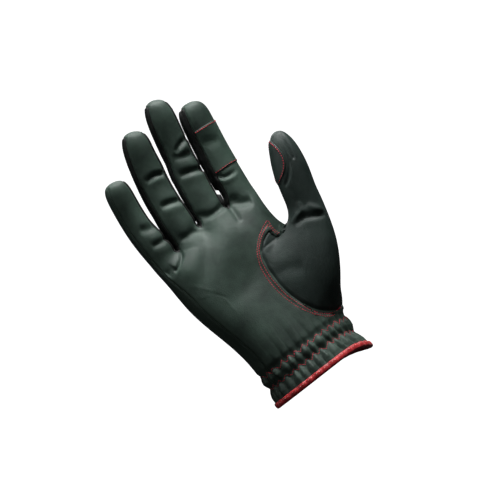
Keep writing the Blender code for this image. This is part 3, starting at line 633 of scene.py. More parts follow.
# Camera: the photo is square, its middle looks at AIM, and the glove leans in it by CAMERA_ROLL.
PHOTO_SIDE = 500
PIXEL = 0.69 * MM
CAMERA_AZIMUTH, CAMERA_ELEVATION, CAMERA_ROLL = -18.0, -5.0, 38.0
CAMERA_DISTANCE = 1.0
CLIP_START, CLIP_END = 0.01, 50.0
SENSOR_WIDTH = 36.0
AIM_RIGHT, AIM_UP = 13.0 * MM, 98.5 * MM

# The fold of the palm's leather over the thumb piece, in pixels of the photo: one place for each
# point of THUMB_SEAM. Leather farther than FOLD_REACH from it stays where it is.
THUMB_FOLD = (
    (341.8, 304.7), (336.2, 309.4), (323.5, 310.9), (310.5, 307.6), (296.3, 299.6), (285.3, 290.8),
    (275.3, 279.3), (266.8, 266.8), (261.3, 253.5), (261.9, 241.5), (268.6, 230.3), (276.4, 235.0),
    (289.8, 228.6),
)
FOLD_REACH = 9.0 * MM
# The palm's edge at that fold: how high it stands, from where it falls and how wide it is, how far its
# very edge dips and how wide the dip is
LIP_RISE, LIP_START, LIP_WIDTH = 0.50 * MM, 1.2 * MM, 4.0 * MM
LIP_DIP, LIP_DIP_WIDTH = 0.2 * MM, 0.4 * MM
# How deep and how wide the thumb piece dips under it
TUCK_DEPTH, TUCK_WIDTH = 1.15 * MM, 2.6 * MM
# How far the palm's edge slides over the thumb piece, and the thumb piece under it, and how wide that is
LIP_OVER, TUCK_UNDER, SLIDE_WIDTH = 0.35 * MM, 0.9 * MM, 1.5 * MM
# A plain seam: how deep and wide its groove is, how high, how far from it and how wide the leather
# swells beside it, and how far from the seam that ends
SEAM_DEPTH, SEAM_WIDTH = 0.26 * MM, 0.6 * MM
SEAM_SWELL, SWELL_AWAY, SWELL_WIDTH = 0.12 * MM, 1.7 * MM, 1.0 * MM
SEAM_REACH = 4.0 * MM

# Folds that the photo shows: pixels along the fold, how deep and wide it is in millimetres, and how
# high the leather stands beside it, to the right of the way that the points go and to the left.
Crease = namedtuple("Crease", "pixels depth width right left")
CREASES = (
    Crease(((297.0, 223.0), (304, 217.0), (312, 215.5), (323, 214.0)), 1.7, 1.6, 0.4, 1.2),
    Crease(((299.0, 203.0), (301.5, 210.5), (297.0, 216.5), (293.5, 222.0)), -1.2, 1.4, 0.0, 0.0),
    Crease(((309.0, 205.0), (317.0, 208.5), (327.0, 212.0)), -0.8, 1.6, 0.0, 0.0),
    Crease(
        ((276.5, 132.6), (282.6, 145.2), (287.2, 156.7), (289.1, 167.4), (288.0, 178.1), (285.3, 185.0)),
        1.1, 0.9, 0.1, 0.3,
    ),
    Crease(((278.4, 131.9), (286.4, 143.7), (292.9, 156.7)), 1.2, 0.9, 0.5, 0.3),
    Crease(((216.5, 175.0), (224.0, 177.0), (233.0, 172.5), (240.5, 165.5)), 1.6, 1.1, 1.1, 0.1),
    Crease(((203.0, 142.5), (210.0, 142.0), (217.0, 140.0)), 1.0, 3.0, 0.2, 0.2),
    Crease(((231.0, 199.5), (240.0, 202.5), (250.0, 200.5)), 2.4, 2.6, 0.5, 0.3),
    Crease(((185.5, 138.5), (180.5, 144.0), (176.5, 150.5)), 1.8, 1.4, 0.2, 1.2),
    Crease(((174.5, 158.0), (181.0, 156.5), (190.0, 154.5)), 1.4, 1.9, 0.4, 0.7),
    Crease(((181.0, 175.0), (189.5, 171.5), (201.5, 168.5)), 2.4, 1.7, 0.9, 0.4),
    Crease(((198.0, 215.5), (207.0, 216.0), (215.0, 212.5), (222.0, 206.5)), 1.9, 1.8, 0.7, 0.6),
    Crease(((147.5, 181.0), (153.5, 176.0), (162.0, 173.5)), 2.2, 1.4, 0.9, 0.4),
    Crease(((162.0, 206.5), (169.5, 203.0), (178.5, 200.5)), 2.2, 1.7, 0.9, 0.5),
    Crease(((181.0, 239.0), (187.5, 236.0), (194.5, 231.0)), 1.6, 1.9, 0.5, 0.3),
    Crease(((141.0, 229.5), (147.0, 229.5), (153.5, 225.5)), 1.3, 2.2, 0.3, 0.8),
    Crease(((153.5, 246.0), (159.5, 243.0), (165.5, 238.5)), 1.6, 1.6, 0.6, 0.8),
    Crease(((179.7, 250.5), (181.5, 257.0), (179.5, 264.0), (175.5, 270.5)), 1.9, 1.0, 0.2, 0.5),
    Crease(((173.0, 268.0), (168.5, 274.0)), 1.3, 2.6, 0.0, 0.0),
    Crease(((222.0, 208.0), (226.0, 235.0), (224.0, 262.0), (217.0, 292.0)), -1.6, 7.0, 0.0, 0.0),
    Crease(((205.0, 232.0), (207.0, 255.0), (200.0, 285.0)), 1.6, 5.0, 0.0, 0.0),
    Crease(((190.0, 252.0), (194.0, 272.0), (202.0, 298.0)), -1.3, 4.5, 0.0, 0.0),
    Crease(((228.0, 205.0), (234.0, 212.0), (239.0, 220.0)), 1.4, 1.6, 0.2, 0.3),
    Crease(((259.5, 252.5), (267.0, 245.0), (279.0, 236.3)), 0.35, 0.8, 0.2, 0.1),
    Crease(((274.0, 276.0), (288.0, 269.0), (302.0, 267.0)), 0.6, 3.2, 0.2, 0.2),
    Crease(((262.0, 268.0), (250.0, 285.0), (232.0, 302.0)), 0.9, 5.0, 0.2, 0.2),
)
# How far a fold's line goes on past its first and last points, in pixels, and in how many steps it is
# drawn from one point to the next
CREASE_RUN_OUT, CREASE_STEPS = 2.5, 3
# How wide the groove is, and how far from it and how wide the leather swells, in widths of the fold
GROOVE_SPREAD, SWELL_PLACE, SWELL_SPREAD = 1.3, 2.7, 1.9
# How much of the depths and of the heights above is used
CREASE_SHARE, SWELL_SHARE = 0.85, 0.5
# How many widths from its line a fold ends. It is left out where the skin faces away from the camera.
CREASE_REACH, CREASE_FACING = 7.5, -0.3
# Where along its line a fold is full, and where it starts to fade. One that is wider than BROAD_CREASE,
# in millimetres, is full at its middle only.
CREASE_FULL, CREASE_FADE, BROAD_CREASE = 0.45, 0.7, 4.0

# How the leather leans beside the gaps between fingers: a line up the gap in pixels of the photo, how far
# up it the lean goes as a share, which side of the gap leans, and how far to the right in millimetres.
Lean = namedtuple("Lean", "start end share side shift")
LEANS = (
    Lean((197.0, 222.0), (152.0, 140.0), 0.95, -1, 1.3),
    Lean((197.0, 222.0), (152.0, 140.0), 0.75, 1, -1.8),
    Lean((174.5, 249.0), (130.0, 190.0), 0.55, -1, 1.0),
    Lean((174.5, 249.0), (130.0, 190.0), 0.55, 1, -0.8),
    Lean((222.0, 205.0), (178.0, 110.0), 1.10, 1, 2.0),
)
# How far from the gap's line the lean starts to fade, and how far it and a fingertip's reach go, in
# pixels
LEAN_NEAR, LEAN_FAR, REACH_FAR = 4.0, 18.0, 26.0
# Shares of the gap's line: where the lean begins and where it is full, and over how much it fades
LEAN_FOOT, LEAN_FULL, LEAN_FADE = -0.03, 0.07, 0.25
# Fingertips that reach a little farther: the middle in pixels, then right and up in millimetres
Reach = namedtuple("Reach", "x y right up")
REACHES = (
    Reach(149.0, 108.0, -0.5, 2.0),
    Reach(126.0, 140.0, -0.1, 1.2),
    Reach(187.0, 107.0, -0.4, 0.9),
    Reach(273.0, 136.0, -0.6, 0.5),
)

# Gathers round the cuff: how many, and at each height how far they stand up, how far the leather is out
# there, all in millimetres, and how wide a gather is as a share of its room.
GATHERS = 30
Gather = namedtuple("Gather", "height depth pull width")
GATHER_BANDS = (
    Gather(1.3, 0.3, 0.0, 1.0),
    Gather(4.5, 1.4, 0.1, 1.0),
    Gather(8.0, 2.3, 0.3, 0.95),
    Gather(11.5, 1.9, 0.0, 0.75),
    Gather(14.0, 0.9, -0.5, 0.35),
    Gather(15.0, 1.0, -0.6, 0.40),
    Gather(16.8, 1.8, -0.1, 0.75),
    Gather(19.0, 2.4, 0.3, 0.95),
    Gather(21.5, 2.0, 0.1, 0.80),
    Gather(23.8, 1.0, -0.5, 0.40),
    Gather(25.2, 0.7, -0.7, 1.0),
    Gather(28.0, 1.1, 0.0, 1.0),
    Gather(35.0, 0.5, 0.1, 1.0),
    Gather(52.0, 0.0, 0.0, 1.0),
)
# How much of those depths is used, how full a gather is, and the level of its shape that stays in place
GATHER_SHARE, GATHER_POWER, GATHER_LEVEL = 0.88, 1.8, 0.45
# How much the gathers differ in size, and how far that goes on from one to the next, in radians
GATHER_UNEVEN, UNEVEN_STEP = 0.22, 3.3
# How far the gathers wander, as a share of their room. Each wave of the wander has a size, a number
# round the wrist and a start, and the last one goes on by a radian in each WANDER_RISE of height.
GATHER_WANDER = 0.09
WANDER_WAVES = ((1.0, 5, 0.7), (0.7, 11, 2.1))
CLIMBING_SIZE, CLIMBING_NUMBER, WANDER_RISE = 0.5, 17, 4 * MM
# Below the lower row the gathers stand between those above it.
PHASE_SHIFT, SHIFT_FROM, SHIFT_TO = 0.5, LOWER_ROW + 0.3 * MM, LOWER_ROW + 1.2 * MM
# A zigzag row: how far it goes up and down, and the steps of its line in each gather
ZIGZAG_RISE, ZIGZAG_STEPS = 1.5 * MM, 24
# Steps in which the way round the wrist's oval is measured
OVAL_STEPS = 720

# The rim hangs lower and stands out at the thumb's side: where that is and how wide it spreads as
# shares of the way round the wrist, how far it goes down and out, and how high each of the two goes
FLARE_SHARE, FLARE_WIDTH, FLARE_DOWN, FLARE_OUT = 0.49, 0.090, 6.4 * MM, 0.8 * MM
DROP_HEIGHT, FLARE_HEIGHT = 45.0 * MM, 15.0 * MM

# Thread: its thickness and how far it lies above the leather, and the pitch and length of the stitches
THREAD, THREAD_LIFT = 0.52 * MM, 0.08 * MM
STITCH_PITCH, STITCH_LENGTH = 1.8 * MM, 1.3 * MM
ZIGZAG_PITCH, ZIGZAG_LENGTH = 1.6 * MM, 1.25 * MM
# Each stitch is a small round shape with this many sides and rings.
STITCH_SIDES, STITCH_RINGS = 8, 6
# How far from the thumb's seam the two rows of stitches lie behind the web, where they aren't seen
THUMB_ROWS = (1.15 * MM, 2.75 * MM)
# Steps from one of the places below to the next, and points of the seam from one hidden place to the next
ROW_STEPS, HIDDEN_STEP = 3, 2
# How often a thumb row is evened out
EVEN_ROUNDS = 2

# The two rows of stitches beside the thumb's seam, in pixels of the photo, from the glove's side near the
# wrist up to the highest point and down to the web: first the outer row, then the inner one.
THUMB_ROW_PIXELS = (
    ((341.8, 307.9), (339.1, 311.0), (335.5, 314.1), (331.1, 315.9), (326.2, 316.3), (321.3, 315.4),
     (316.8, 314.6), (311.4, 312.8), (304.3, 310.1), (297.1, 306.5), (290.0, 301.6), (282.9, 296.3),
     (277.5, 290.9), (272.1, 285.1), (267.7, 279.3), (263.2, 272.1), (260.1, 265.9), (258.1, 258.8),
     (257.1, 252.5), (257.4, 247.1), (258.3, 240.9), (260.1, 233.8), (262.8, 227.5), (265.4, 223.0),
     (267.9, 220.2), (269.9, 223.9), (272.6, 227.9), (275.7, 230.6), (278.8, 232.9)),
    ((340.9, 307.0), (338.2, 309.2), (334.6, 311.9), (329.3, 313.7), (325.7, 313.8), (320.4, 313.2),
     (315.0, 311.6), (307.9, 308.8), (301.6, 305.2), (295.4, 301.2), (289.1, 297.1), (283.8, 292.7),
     (279.3, 287.8), (274.8, 282.4), (270.4, 277.5), (266.8, 271.7), (263.7, 265.9), (261.4, 261.4),
     (259.8, 256.1), (259.2, 251.6), (259.2, 247.1), (260.4, 240.9), (262.3, 234.6), (265.0, 229.3),
     (266.8, 226.6), (268.1, 224.8), (270.8, 227.9), (273.5, 231.1), (275.7, 232.9), (277.1, 233.8)),
)
# Patches: how far the inner face, the edge and the middle lie above the leather, the width of the
# rolled border, and the steps along and across
PATCH_BASE, PATCH_EDGE, PATCH_HEIGHT = 0.08 * MM, 0.2 * MM, 0.6 * MM
PATCH_ROLL = 0.9 * MM
PATCH_STEPS = 64
# The grip patch's stitch rows: how far in from its ends as a share, and the steps left out at each side
GRIP_ROW_INSET, GRIP_ROW_ENDS = 0.032, 2
# The pad patch's stitch rows: how far in from its sides, and the share of its length that they take up
PAD_ROW_INSET, PAD_ROW_SPAN = 1.5 * MM, 0.9

# Binding: out from the leather and height of each point of its section, in millimetres
TAPE_SECTION = (
    (0.10, 4.15), (0.50, 4.40), (0.95, 4.10), (1.15, 3.20), (1.18, 2.20), (1.10, 1.20), (0.75, 0.40),
    (0.10, 0.05), (-0.45, 0.00), (-1.00, 0.05), (-1.65, 0.40), (-2.00, 1.20), (-2.08, 2.20),
    (-2.05, 3.20), (-1.85, 4.10), (-1.40, 4.40), (-1.02, 4.15), (-1.00, 2.40), (-0.95, 1.10),
    (0.05, 1.10), (0.08, 2.40),
)
# The two heights where it follows the leather, in millimetres, and the steps round the wrist
TAPE_LOW, TAPE_HIGH = 1.7, 4.2
TAPE_STEPS = 720
# The leather is looked for from this share of the wrist's half width and depth outward.
TAPE_START = 0.6
# The topstitch: its height and how far out it lies, in millimetres, then its pitch and length
TAPE_STITCH_HEIGHT, TAPE_STITCH_OUT = 3.1, 1.2
TAPE_PITCH, TAPE_STITCH = 2.4 * MM, 1.1 * MM

# Patterns of the looks: scale and detail of each, then roughness and distortion where they aren't plain
CLOUD, SHEEN, WRINKLE = (38.0, 4.0, 0.6), (90.0, 3.0), (140.0, 5.0, 0.65, 0.8)
FIBRE, TAPE_CLOUD, TAPE_WAVE, TAPE_WEAVE = (2600.0, 2.0), (220.0, 4.0), (320.0, 3.0), (1500.0, 2.0)
GRAIN_SCALE, GRAIN_EDGE = 950.0, 0.25
# Where in its pattern each colour runs from dark to light
LEATHER_STOPS, THREAD_STOPS, TAPE_STOPS = (0.32, 0.70), (0.35, 0.65), (0.3, 0.72)
# How much smoother and rougher than its middle value the leather gets
SMOOTHER, ROUGHER = 0.06, 0.07
THREAD_ROUGHNESS, TAPE_ROUGHNESS, TAPE_SHEEN, LEATHER_SPECULAR = 0.6, 0.5, 0.15, 0.3
# Strengths and heights of the bumps
FIBRE_STRENGTH, TAPE_WAVE_STRENGTH, TAPE_WEAVE_STRENGTH = 0.4, 0.3, 0.35
WRINKLE_BUMP, GRAIN_BUMP, FIBRE_BUMP = 0.6 * MM, 0.12 * MM, 0.1 * MM
TAPE_WAVE_BUMP, TAPE_WEAVE_BUMP = 0.4 * MM, 0.12 * MM

# The floor and the surround: where they lie and end, in metres, their steps in degrees, their grey and
# their own glow
FLOOR_HEIGHT, SURROUND_RADIUS, SURROUND_TOP = -0.25, 3.0, 3.0
SURROUND_TURN, SURROUND_BEND = 5, 6
FLOOR_GREY, SURROUND_GLOW = 0.9, 1.1
# The point that the lights look at, and the light from all round
LIT_POINT = (0.01, 0.0, 0.10)
AMBIENT = 0.025
# Name, azimuth, elevation, distance, size and power of each soft light
LIGHTS = (
    ("key_light", 60.0, 48.0, 1.2, 0.5, 16.0),
    ("tip_light", 28.0, 66.0, 0.42, 0.3, 2.4),
    ("front_light", 20.0, 15.0, 1.5, 0.9, 0.7),
    ("side_light", -75.0, 30.0, 1.4, 0.6, 1.6),
    ("back_light", 150.0, 40.0, 1.4, 0.8, 10.0),
)


def camera_axes():
    """The photo's right, its up and the way back to the camera, in the row frame."""
    azimuth, elevation = math.radians(CAMERA_AZIMUTH), math.radians(CAMERA_ELEVATION)
    roll = math.radians(CAMERA_ROLL)
    back = Vector((
        math.sin(azimuth) * math.cos(elevation),
        -math.cos(azimuth) * math.cos(elevation),
        math.sin(elevation),
    ))
    level = Vector((math.cos(azimuth), math.sin(azimuth), 0.0))
    upright = back.cross(level)
    aim = level * AIM_RIGHT + upright * AIM_UP
    right = level * math.cos(roll) - upright * math.sin(roll)
    up = level * math.sin(roll) + upright * math.cos(roll)
    return aim, right, up, back


def pixel_ray(x, y):
    """Where the camera stands, and the way from it through a pixel of the photo."""
    aim, right, up, back = camera_axes()
    across = (x - PHOTO_SIDE / 2) * PIXEL
    above = (PHOTO_SIDE / 2 - y) * PIXEL
    way = right * across + up * above - back * CAMERA_DISTANCE
    return aim + back * CAMERA_DISTANCE, way.normalized()


def on_glove(tree, x, y):
    """The point of a surface that shows at a pixel of the photo, or None."""
    start, way = pixel_ray(x, y)
    hit, *_ = tree.ray_cast(start, way)
    return hit


def linked(name, data):
    """A new object of the scene."""
    made = bpy.data.objects.new(name, data)
    bpy.context.scene.collection.objects.link(made)
    return made


def as_mesh(holder):
    """The mesh that an object has after its modifiers. The object itself goes."""
    graph = bpy.context.evaluated_depsgraph_get()
    made = bpy.data.meshes.new_from_object(holder.evaluated_get(graph))
    bpy.data.objects.remove(holder)
    return made


def faced_outward(mesh):
    """Turns all faces of a mesh outward."""
    bm = bmesh.new()
    bm.from_mesh(mesh)
    bmesh.ops.recalc_face_normals(bm, faces=bm.faces)
    bm.to_mesh(mesh)
    bm.free()


def divided(points, faces, panels, levels):
    """A cage made finer: the places of its points, its faces and the panel of each face."""
    mesh = bpy.data.meshes.new("cage")
    mesh.from_pydata([tuple(p) for p in points], [], [tuple(f) for f in faces])
    for _ in range(max(panels) + 1):
        mesh.materials.append(None)
    mesh.polygons.foreach_set("material_index", list(panels))
    holder = linked("cage", mesh)
    modifier = holder.modifiers.new("fine", "SUBSURF")
    modifier.levels = modifier.render_levels = levels
    fine = as_mesh(holder)
    faced_outward(fine)
    places = np.empty(len(fine.vertices) * 3)
    fine.vertices.foreach_get("co", places)
    corners = np.empty(len(fine.loops), np.int32)
    fine.loops.foreach_get("vertex_index", corners)
    owners = np.empty(len(fine.polygons), np.int32)
    fine.polygons.foreach_get("material_index", owners)
    bpy.data.meshes.remove(fine)
    return places.reshape(-1, 3), corners.reshape(-1, 4), owners


def fine_skin():
    """The glove's skin, fine and smooth, through every corner that the solids have."""
    skin = glove_skin()
    names = sorted(set(skin.panels))
    panels = [names.index(panel) for panel in skin.panels]
    points, faces, panels = divided(cage_through(skin.points, skin.faces), skin.faces, panels, 1)
    faces = faces.tolist()
    points, faces, panels = divided(cage_through(points, faces), faces, panels.tolist(), SKIN_LEVELS - 1)
    return points, faces, panels, names


def of_length_one(ways):
    return ways / np.maximum(np.linalg.norm(ways, axis=1), TINY)[:, None]


def outward(places, faces):
    """The outward direction at each point."""
    a, b, c, d = (places[faces[:, k]] for k in range(4))
    cross = np.cross(c - a, d - b)
    normals = np.zeros_like(places)
    for k in range(4):
        np.add.at(normals, faces[:, k], cross)
    return of_length_one(normals)


def surface_tree(places, faces):
    return BVHTree.FromPolygons(places.tolist(), faces.tolist())


def eased(low, high, values):
    """The same slope as in smooth, for many values at once."""
    t = np.clip((values - low) / (high - low), 0.0, 1.0)
    return t * t * (3.0 - 2.0 * t)


def seam_edges(faces, panels):
    """Edges between two panels, as point pairs with the two panels."""
    pairs = np.concatenate([faces[:, [k, (k + 1) % 4]] for k in range(4)])
    owners = np.tile(panels, 4)
    pairs.sort(axis=1)
    order = np.lexsort((pairs[:, 1], pairs[:, 0]))
    pairs, owners = pairs[order], owners[order]
    same = (pairs[1:] == pairs[:-1]).all(axis=1) & (owners[1:] != owners[:-1])
    found = np.nonzero(same)[0]
    return [(tuple(pairs[i]), {int(owners[i]), int(owners[i + 1])}) for i in found]


def closed_walk(edges):
    """The points of a closed chain of edges, in order."""
    beside = {}
    for a, b in edges:
        beside.setdefault(a, []).append(b)
        beside.setdefault(b, []).append(a)
    first = min(beside)
    walk, before, here = [first], None, first
    while True:
        after = next(p for p in beside[here] if p != before)
        if after == first:
            return walk
        walk.append(after)
        before, here = here, after


def thumb_loop(places, seams, thumb):
    """The thumb piece's seam, from the first point of THUMB_SEAM on."""
    walk = closed_walk([edge for edge, sides in seams if thumb in sides])
    ends = []
    for seam in THUMB_SEAM[1:3]:
        x, z = seam_place(seam)
        ends.append(np.array(palm_point(x, z, -1)))
    near = [int(np.argmin(np.linalg.norm(places[walk] - end, axis=1))) for end in ends]
    step = 1 if (near[1] - near[0]) % len(walk) < len(walk) / 2 else -1
    start = near[0] - step * POINTS_PER_SIDE
    return [walk[(start + step * k) % len(walk)] for k in range(len(walk))]


def nearest_of(places, chosen, reach):
    """For each point near the chosen ones: which of them is nearest and how far it is."""
    tree = KDTree(len(chosen))
    for i, index in enumerate(chosen):
        tree.insert(places[index], i)
    tree.balance()
    low, high = places[chosen].min(0) - reach, places[chosen].max(0) + reach
    near = np.nonzero(((places >= low) & (places <= high)).all(axis=1))[0]
    rank = np.full(len(places), -1)
    away = np.full(len(places), FAR_AWAY)
    for index in near:
        _, i, distance = tree.find(places[index])
        if distance < reach:
            rank[index], away[index] = i, distance
    return rank, away


def moved_to_fold(places, faces, loop):
    """Slides the thumb's seam, and the leather round it, to where the photo shows the fold."""
    tree = surface_tree(places, faces)
    shift = np.zeros((len(loop), 3))
    for index, (x, y) in enumerate(curve_through(THUMB_FOLD, POINTS_PER_SIDE)):
        hit = on_glove(tree, x, y)
        if hit is not None and (hit - Vector(places[loop[index]])).length < FOLD_REACH:
            shift[index] = np.array(hit) - places[loop[index]]
    width = POINTS_PER_SIDE // 4
    kernel = np.ones(2 * width + 1) / (2 * width + 1)
    around = np.concatenate([shift[-width:], shift, shift[:width]])
    even = np.stack([np.convolve(around[:, k], kernel, "valid") for k in range(3)], axis=1)
    last = (len(THUMB_FOLD) - 1) * POINTS_PER_SIDE
    shift[last:] = even[last:]
    rank, away = nearest_of(places, loop, FOLD_REACH)
    near = rank >= 0
    places[near] += shift[rank[near]] * (1 - eased(0, FOLD_REACH, away[near]))[:, None]
    return places


def seen_at(places):
    """The pixels of the photo where points are seen."""
    aim, right, up, back = (np.array(v) for v in camera_axes())
    off = places - aim
    size = CAMERA_DISTANCE / (CAMERA_DISTANCE - off @ back) / PIXEL
    return np.column_stack([PHOTO_SIDE / 2 + off @ right * size, PHOTO_SIDE / 2 - off @ up * size])


def leaned(places):
    """How far each point goes sideways for LEANS and REACHES."""
    _, right, up, _ = (np.array(v) for v in camera_axes())
    seen = seen_at(places)
    shift = np.zeros_like(places)
    for lean in LEANS:
        start, way = np.array(lean.start), np.array(lean.end) - lean.start
        length = np.linalg.norm(way)
        way = way / length
        share = (seen - start) @ way / length
        off = (seen - start) @ np.array([-way[1], way[0]])
        weight = 1 - eased(LEAN_NEAR, LEAN_FAR, np.abs(off))
        weight *= eased(LEAN_FOOT, LEAN_FULL, share)
        weight *= 1 - eased(lean.share - LEAN_FADE, lean.share, share)
        weight *= off * lean.side > 0
        shift += weight[:, None] * lean.shift * MM * (-way[1] * right - way[0] * up)
    for reach in REACHES:
        away = np.hypot(seen[:, 0] - reach.x, seen[:, 1] - reach.y)
        weight = 1 - eased(LEAN_NEAR, REACH_FAR, away)
        shift += weight[:, None] * MM * (reach.right * right + reach.up * up)
    return shift


def run_out(pixels):
    """A line of pixels made longer at both ends."""
    p = np.array(pixels, float)
    first, last = p[0] - p[1], p[-1] - p[-2]
    first *= CREASE_RUN_OUT / np.linalg.norm(first)
    last *= CREASE_RUN_OUT / np.linalg.norm(last)
    return np.concatenate([[p[0] + first], p, [p[-1] + last]])


def line_reach(places, normals, line):
    """For each point: how far it is from a line on the skin, on which side and how far along."""
    best = np.full(len(places), FAR_AWAY)
    side = np.zeros(len(places))
    along = np.zeros(len(places))
    count = len(line) - 1
    for i, (a, b) in enumerate(zip(line, line[1:])):
        way = b - a
        share = np.clip((places - a) @ way / (way @ way), 0, 1)
        off = places - (a + share[:, None] * way)
        distance = np.linalg.norm(off, axis=1)
        nearer = distance < best
        best[nearer] = distance[nearer]
        side[nearer] = np.einsum("ij,ij->i", off[nearer], np.cross(way, normals[nearer]))
        along[nearer] = (i + share[nearer]) / count
    return best, np.sign(side), along


def curve_through(points, steps):
    """Points of a smooth curve through the given ones."""
    p = np.array(points, float)
    p = np.concatenate([[2 * p[0] - p[1]], p, [2 * p[-1] - p[-2]]])
    made = []
    for i in range(1, len(p) - 2):
        for k in range(steps):
            t = k / steps
            made.append(0.5 * (
                2 * p[i] + (p[i + 1] - p[i - 1]) * t
                + (2 * p[i - 1] - 5 * p[i] + 4 * p[i + 1] - p[i + 2]) * t * t
                + (3 * p[i] - p[i - 1] - 3 * p[i + 1] + p[i + 2]) * t ** 3
            ))
    made.append(p[-2])
    return np.array(made)


def creased(places, normals, tree):
    """How far each point goes out for the folds and dents of CREASES."""
    out = np.zeros(len(places))
    for crease in CREASES:
        pixels = curve_through(run_out(crease.pixels), CREASE_STEPS)
        hits = [on_glove(tree, x, y) for x, y in pixels]
        line = np.array([tuple(hit) for hit in hits if hit is not None])
        if len(line) < 2:
            continue
        width = crease.width * MM
        low, high = line.min(0) - CREASE_REACH * width, line.max(0) + CREASE_REACH * width
        near = np.nonzero(((places > low) & (places < high)).all(axis=1))[0]
        near = near[normals[near] @ np.array(camera_axes()[3]) > CREASE_FACING]
        distance, side, along = line_reach(places[near], normals[near], line)
        fade = eased(0, CREASE_FULL, along) * (1 - eased(CREASE_FADE, 1.0, along))
        if crease.width > BROAD_CREASE:
            fade = (4 * along * (1 - along)) ** 2
        groove = -CREASE_SHARE * crease.depth * np.exp(-(distance / width / GROOVE_SPREAD) ** 2)
        swell = np.exp(-((distance / width - SWELL_PLACE) / SWELL_SPREAD) ** 2) * SWELL_SHARE
        height = np.where(side > 0, crease.right, crease.left) * swell
        out[near] += (groove + height) * fade * MM
    return out


OVAL_ANGLES = np.linspace(0, 2 * math.pi, OVAL_STEPS + 1)


def oval_shares():
    """How far round the wrist's oval each of OVAL_ANGLES is, as a share of the whole way."""
    x, y = -np.cos(OVAL_ANGLES) * WRIST_WIDTH / 2, -np.sin(OVAL_ANGLES) * WRIST_DEPTH / 2
    lengths = np.concatenate([[0], np.cumsum(np.hypot(np.diff(x), np.diff(y)))])
    return lengths / lengths[-1]


OVAL_SHARES = oval_shares()


def round_share(x, y):
    """How far round the wrist a point is, from the little finger's side by the palm, as a share."""
    angle = np.arctan2(-y / WRIST_DEPTH, -x / WRIST_WIDTH) % (2 * math.pi)
    return np.interp(angle, OVAL_ANGLES, OVAL_SHARES)


def oval_point(i, steps):
    """x and y of a point of the wrist's oval, after i of the steps round it."""
    angle = 2 * math.pi * i / steps
    return -math.cos(angle) * WRIST_WIDTH / 2, -math.sin(angle) * WRIST_DEPTH / 2


def gather_phase(share, height):
    """Counts the gathers round the wrist: a whole number is a valley between two of them."""
    turn = 2 * math.pi * share
    wander = sum(size * np.sin(number * turn + start) for size, number, start in WANDER_WAVES)
    wander = wander + CLIMBING_SIZE * np.sin(CLIMBING_NUMBER * turn + height / WANDER_RISE)
    shift = PHASE_SHIFT * (1 - eased(SHIFT_FROM, SHIFT_TO, height))
    return share * GATHERS + GATHER_WANDER * wander + shift


def gathered(places):
    """How far each point of the cuff goes out for the gathers."""
    heights = [band.height * MM for band in GATHER_BANDS]
    z = places[:, 2]
    depth = np.interp(z, heights, [band.depth * MM for band in GATHER_BANDS], right=0.0)
    pull = np.interp(z, heights, [band.pull * MM for band in GATHER_BANDS], right=0.0)
    width = np.interp(z, heights, [band.width for band in GATHER_BANDS])
    phase = gather_phase(round_share(places[:, 0], places[:, 1]), z)
    pillow = 1 - np.minimum(1, np.abs(2 * (phase % 1.0) - 1) / width) ** GATHER_POWER
    wide = 1 - np.abs(2 * ((phase / 2) % 1.0) - 1) ** GATHER_POWER
    merged = eased(UPPER_ROW, CUFF_HEIGHT + GATHER_REACH, z)
    size = 1 + GATHER_UNEVEN * np.sin(UNEVEN_STEP * np.floor(phase) + 1.0)
    profile = (pillow * (1 - merged) + wide * merged) * size
    out = GATHER_SHARE * depth * (profile - GATHER_LEVEL) + pull
    return np.where(z < heights[-1], out, 0.0)


def flared(places):
    """How far each point of the cuff goes for the flare at the thumb's side."""
    share = round_share(places[:, 0], places[:, 1])
    weight = np.exp(-((share - FLARE_SHARE) / FLARE_WIDTH) ** 2)
    out = FLARE_OUT * weight * (1 - eased(0, FLARE_HEIGHT, places[:, 2]))
    down = FLARE_DOWN * weight * (1 - eased(0, DROP_HEIGHT, places[:, 2]))
    way = of_length_one(places[:, :2] / np.array([WRIST_WIDTH, WRIST_DEPTH]) ** 2)
    return np.column_stack([way * out[:, None], -down])


def with_flare(points):
    """Points of the cuff after the flare."""
    points = np.array([tuple(p) for p in points])
    return (points + flared(points)).tolist()


def panel_edges(faces):
    """Directed edges that only one of the faces has."""
    pairs = np.concatenate([faces[:, [k, (k + 1) % 4]] for k in range(4)])
    keys = pairs[:, 0].astype(np.int64) * (faces.max() + 1) + pairs[:, 1]
    twins = pairs[:, 1].astype(np.int64) * (faces.max() + 1) + pairs[:, 0]
    return pairs[~np.isin(keys, twins)]


def inward_ways(places, normals, faces, edges):
    """For each point on the panel's edge, the way along the leather into the panel."""
    centres = places[faces].mean(axis=1)
    ways = np.zeros_like(places)
    on_edge = np.zeros(len(places), bool)
    on_edge[edges] = True
    for k in range(4):
        corner = faces[:, k]
        touching = on_edge[corner]
        np.add.at(ways, corner[touching], centres[touching] - places[corner[touching]])
    ways -= normals * np.einsum("ij,ij->i", ways, normals)[:, None]
    return of_length_one(ways)


